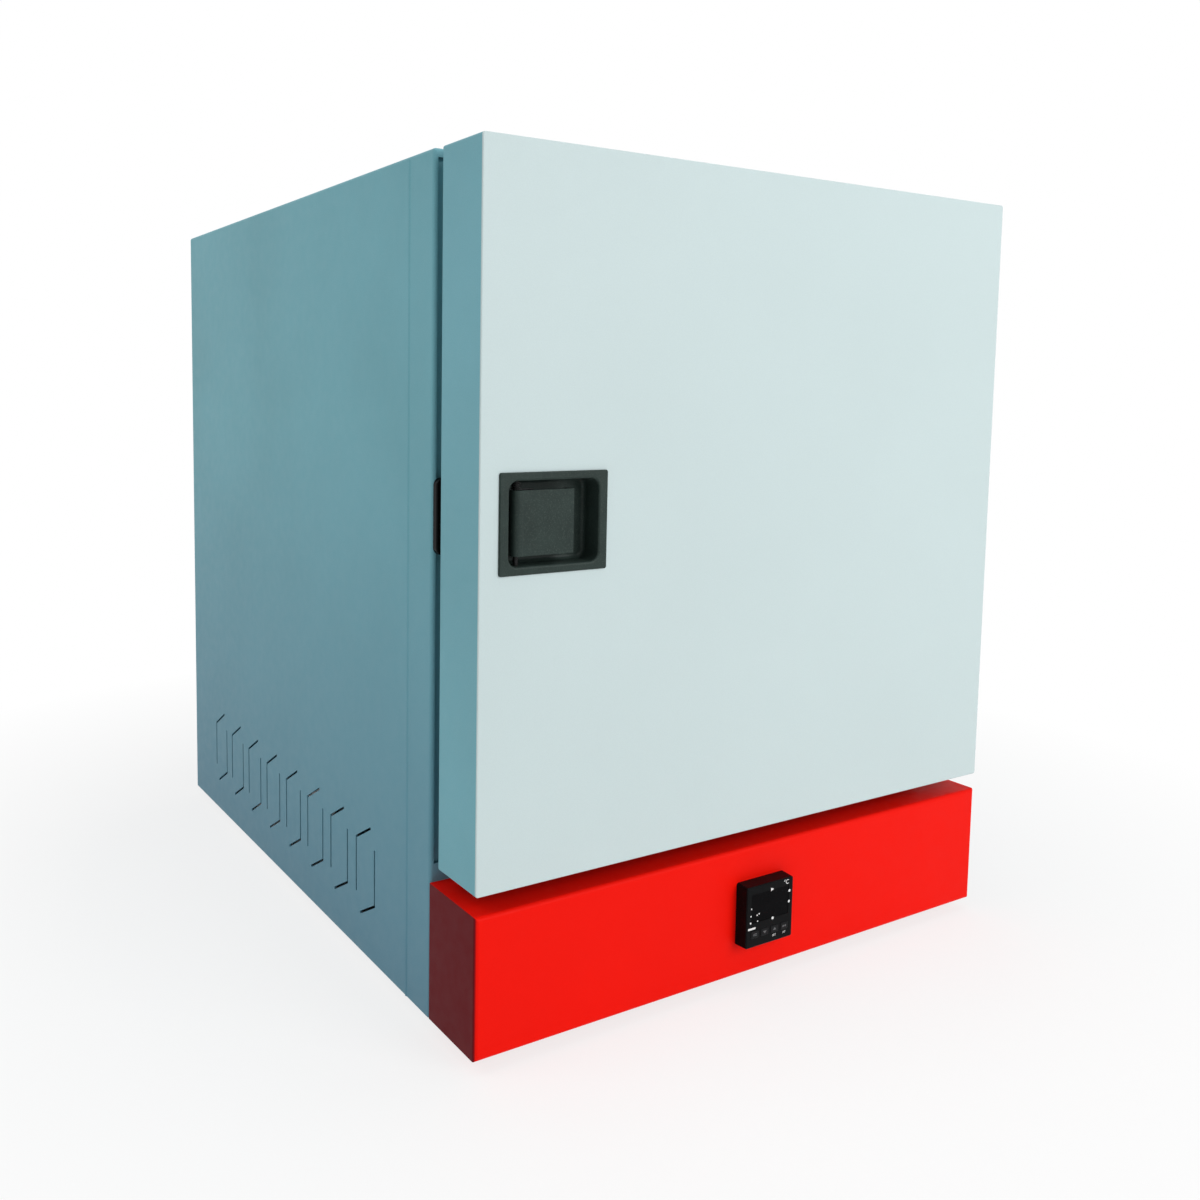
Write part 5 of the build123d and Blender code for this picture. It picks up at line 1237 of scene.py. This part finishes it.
@dataclass
class Screws(Dresser):
    """Cross-recessed screws in place of the plain ones.

    Attributes:
        head: Radius of a head.
        height: Height of a head.
        shank: Radius of a shank.
        root: Length of shank below the head.
        seat: Radius of the head where it sits, as a share of its radius.
        rim: Height of the head's straight rim, as a share of its height.
        dome: Height of the rounded part, as a share.
        crown: Height of the middle, as a share.
        sweep: How far the rounded part goes towards the middle, as a share of a quarter turn.
        dome_steps: Steps up the rounded part.
        round_steps: Points round a head.
        recess: Reach and half width of the cross as shares of the radius, and heights of
            its bottom and of its cutter's top as shares of the head's.
        spin: Turn of the first screw about its axis and the step to the next, in degrees.
        groups: Node, the body it is on, and the way its heads look.
    """

    head: float = 3.6 * MM
    height: float = 1.8 * MM
    shank: float = 2.0 * MM
    root: float = 0.2 * MM
    seat: float = 0.985
    rim: float = 0.12
    dome: float = 0.86
    crown: float = 0.985
    sweep: float = 0.98
    dome_steps: int = 7
    round_steps: int = 36
    recess: tuple[float, float, float, float] = (0.58, 0.13, 0.35, 1.5)
    spin: Span = (11.0, 37.0)
    groups: tuple[tuple[str, str, Facing], ...] = (
        ("rear_cover_screws", "oven_body", Facing.BACK),
        ("body_hinge_screws", "oven_body", Facing.RIGHT),
        ("door_hinge_screws", "door", Facing.RIGHT),
        ("door_liner_screws", "door", Facing.BACK),
        ("keeper_screws", "oven_body", Facing.FRONT),
        ("foot_screws", "oven_body", Facing.DOWN),
    )

    def make(self) -> None:
        """Make each group of screws from one master."""
        master = self.make_master()
        for node, body, facing in self.groups:
            self.place_group(master, node, body, facing)
        bpy.data.objects.remove(master)

    def make_master(self) -> Piece:
        """One screw head, its seat at the origin and its top along +Z.

        Returns:
            The master, with the cross recess cut.
        """
        profile = [
            (0.0, -self.root),
            (self.shank, -self.root),
            (self.shank, 0.0),
            (self.head * self.seat, 0.0),
            (self.head, self.rim * self.height),
        ]
        for i in range(1, self.dome_steps + 1):
            angle = i / self.dome_steps * math.pi / 2
            radius = self.head * math.cos(angle * self.sweep)
            profile.append((radius, self.height * (self.rim + self.dome * math.sin(angle))))
        profile.append((0.0, self.height * self.crown))
        mesh = bmesh.new()
        turned(mesh, profile, self.round_steps)
        head = mesh_piece("screw_master", mesh, smooth=50.0)
        tool = self.make_cutter()
        cut = head.modifiers.new("recess", "BOOLEAN")
        cut.operation = "DIFFERENCE"
        cut.solver = "EXACT"
        cut.object = tool
        made = evaluated_mesh(head)
        head.modifiers.clear()
        head.data = made
        bpy.data.objects.remove(tool)
        return head

    def make_cutter(self) -> Piece:
        """Cross-shaped prism that cuts the recess.

        Returns:
            The prism, higher than the head.
        """
        reach, width, bottom, top = self.recess
        arm, half = self.head * reach, self.head * width
        quarter = [(half, -arm), (half, -half), (arm, -half)]
        cross = []
        for _ in range(4):
            cross += quarter
            quarter = [(-y, x) for x, y in quarter]
        mesh = bmesh.new()
        slab(mesh, cross, self.height * bottom, self.height * top)
        return mesh_piece("screw_cutter", mesh)

    def place_group(self, master: Piece, node: str, body: str, facing: Facing) -> None:
        """Put a screw in the place of each solid of a node.

        Args:
            master: The master screw.
            node: CAD node that the group stands for.
            body: Body that the screws ride on.
            facing: The way the heads look.
        """
        normal = Vector(facing.value)
        start, step = self.spin
        whole = bmesh.new()
        for number, (low, high) in enumerate(islands(self.nodes[node])):
            reach = abs((high - low).dot(normal)) / 2
            seat = (low + high) / 2 + normal * (reach - self.height)
            spin = Matrix.Rotation(math.radians(start + step * number), 4, "Z")
            copy = master.data.copy()
            copy.transform(Matrix.Translation(seat) @ facing.turn() @ spin)
            whole.from_mesh(copy)
            bpy.data.meshes.remove(copy)
        group = mesh_piece(node.replace("_screws", "_cross_screws"), whole, smooth=50.0)
        Finish.ZINC.paint(group)
        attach(group, body)
        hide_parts(node)


@dataclass
class Studio:
    """Ground, lamps, world and camera.

    Attributes:
        eye: Place of the camera.
        yaw: Turn of the view from straight ahead, in degrees.
        pitch: How far the view looks down, in degrees.
        roll: Tilt of the picture, in degrees.
        lens: Focal length, in millimetres.
        sensor: Width of the sensor, in millimetres.
        shift: Shift of the picture, across and up.
        clip: Nearest and furthest distance seen.
        ambient: Strength of the even light from all round.
        ground_reach: Half width of the ground.
        lamps: Name, place, target, side of the square and watts of each lamp.
    """

    eye: Point = (-0.6099, -0.9094, 0.4461)
    yaw: float = 30.66
    pitch: float = 5.22
    roll: float = 0.57
    lens: float = 34.24
    sensor: float = 36.0
    shift: Span = (0.1002, -0.0871)
    clip: Span = (0.02, 60.0)
    ambient: float = 0.42
    ground_reach: float = 6.0
    lamps: tuple[tuple[str, Point, Point, float, float], ...] = (
        ("front_lamp", (0.9, -2.6, 1.3), (0.0, -0.3, 0.35), 1.6, 37.0),
        ("left_lamp", (-2.2, 0.3, 2.3), (-0.25, 0.0, 0.5), 1.4, 15.0),
        ("top_lamp", (0.2, -0.2, 2.6), (0.0, 0.0, 0.5), 1.5, 12.0),
    )

    def build(self) -> None:
        """Set up the studio."""
        self.lay_ground()
        self.light_world()
        for lamp in self.lamps:
            self.hang_lamp(*lamp)
        self.set_camera()
        bpy.context.scene.view_settings.view_transform = "Standard"

    def lay_ground(self) -> None:
        """Make the ground."""
        mesh = bmesh.new()
        corners = bar(0, 0, 2 * self.ground_reach, 2 * self.ground_reach)
        mesh.faces.new([mesh.verts.new((x, y, 0.0)) for x, y in corners])
        ground = mesh_piece("studio_ground", mesh)
        Finish.PAPER.paint(ground)

    def light_world(self) -> None:
        """Even light all round, plain white behind the object."""
        world = bpy.data.worlds.new("studio_world")
        bpy.context.scene.world = world
        world.use_nodes = True
        wiring = Wiring(world.node_tree)
        even, plain = (
            wiring.node("Background", WHITE, strength).outputs[0]
            for strength in (self.ambient, 1.0)
        )
        mix = wiring.node("MixShader", wiring.seen(), even, plain)
        wiring.node("OutputWorld", mix.outputs[0])

    def hang_lamp(self, name: str, place: Point, target: Point, size: float, power: float) -> None:
        """Add a square soft lamp.

        Args:
            name: Name of the lamp.
            place: Where it hangs.
            target: What it looks at.
            size: Side of its square.
            power: Power in watts.
        """
        data = bpy.data.lights.new(name, "AREA")
        data.shape = "SQUARE"
        data.size = size
        data.energy = power
        lamp = in_scene(name, data)
        lamp.location = place
        aim = Vector(target) - Vector(place)
        lamp.rotation_euler = aim.to_track_quat("-Z", "Y").to_euler()

    def set_camera(self) -> None:
        """Put the camera where the picture was taken."""
        yaw, pitch, roll = (math.radians(v) for v in (self.yaw, self.pitch, self.roll))
        ahead = Vector((math.sin(yaw), math.cos(yaw), 0)) * math.cos(pitch)
        back = Vector((0, 0, math.sin(pitch))) - ahead
        right = Vector((0, 0, 1)).cross(back).normalized()
        turn = axes(right, back.cross(right), back)
        data = bpy.data.cameras.new("camera")
        data.sensor_width = self.sensor
        data.lens = self.lens
        data.shift_x, data.shift_y = self.shift
        data.clip_start, data.clip_end = self.clip
        camera = in_scene("camera", data)
        camera.matrix_world = Matrix.Translation(self.eye) @ turn @ Matrix.Rotation(roll, 4, "Z")
        bpy.context.scene.camera = camera


def main() -> None:
    """Load the frame and build every sub-assembly."""
    logging.basicConfig(level=logging.INFO, format="%(name)s %(message)s")
    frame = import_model()
    nodes: dict[str, Piece] = frame["nodes"]
    places = {joint["name"]: joint.get("pos_m") for joint in frame["joints"]}
    for assembly in (
        Cabinet(nodes),
        ControlFront(nodes),
        Door(nodes),
        PaddleLatch(nodes),
        Hinges(nodes),
        Chamber(nodes),
        AirSystem(nodes),
        ElectricalBay(nodes, Vector(places["power_rocker_tilt"])),
        Screws(nodes),
        Studio(),
    ):
        assembly.build()
        log.info("%s ready", type(assembly).__name__)


if __name__ == "__main__":
    main()
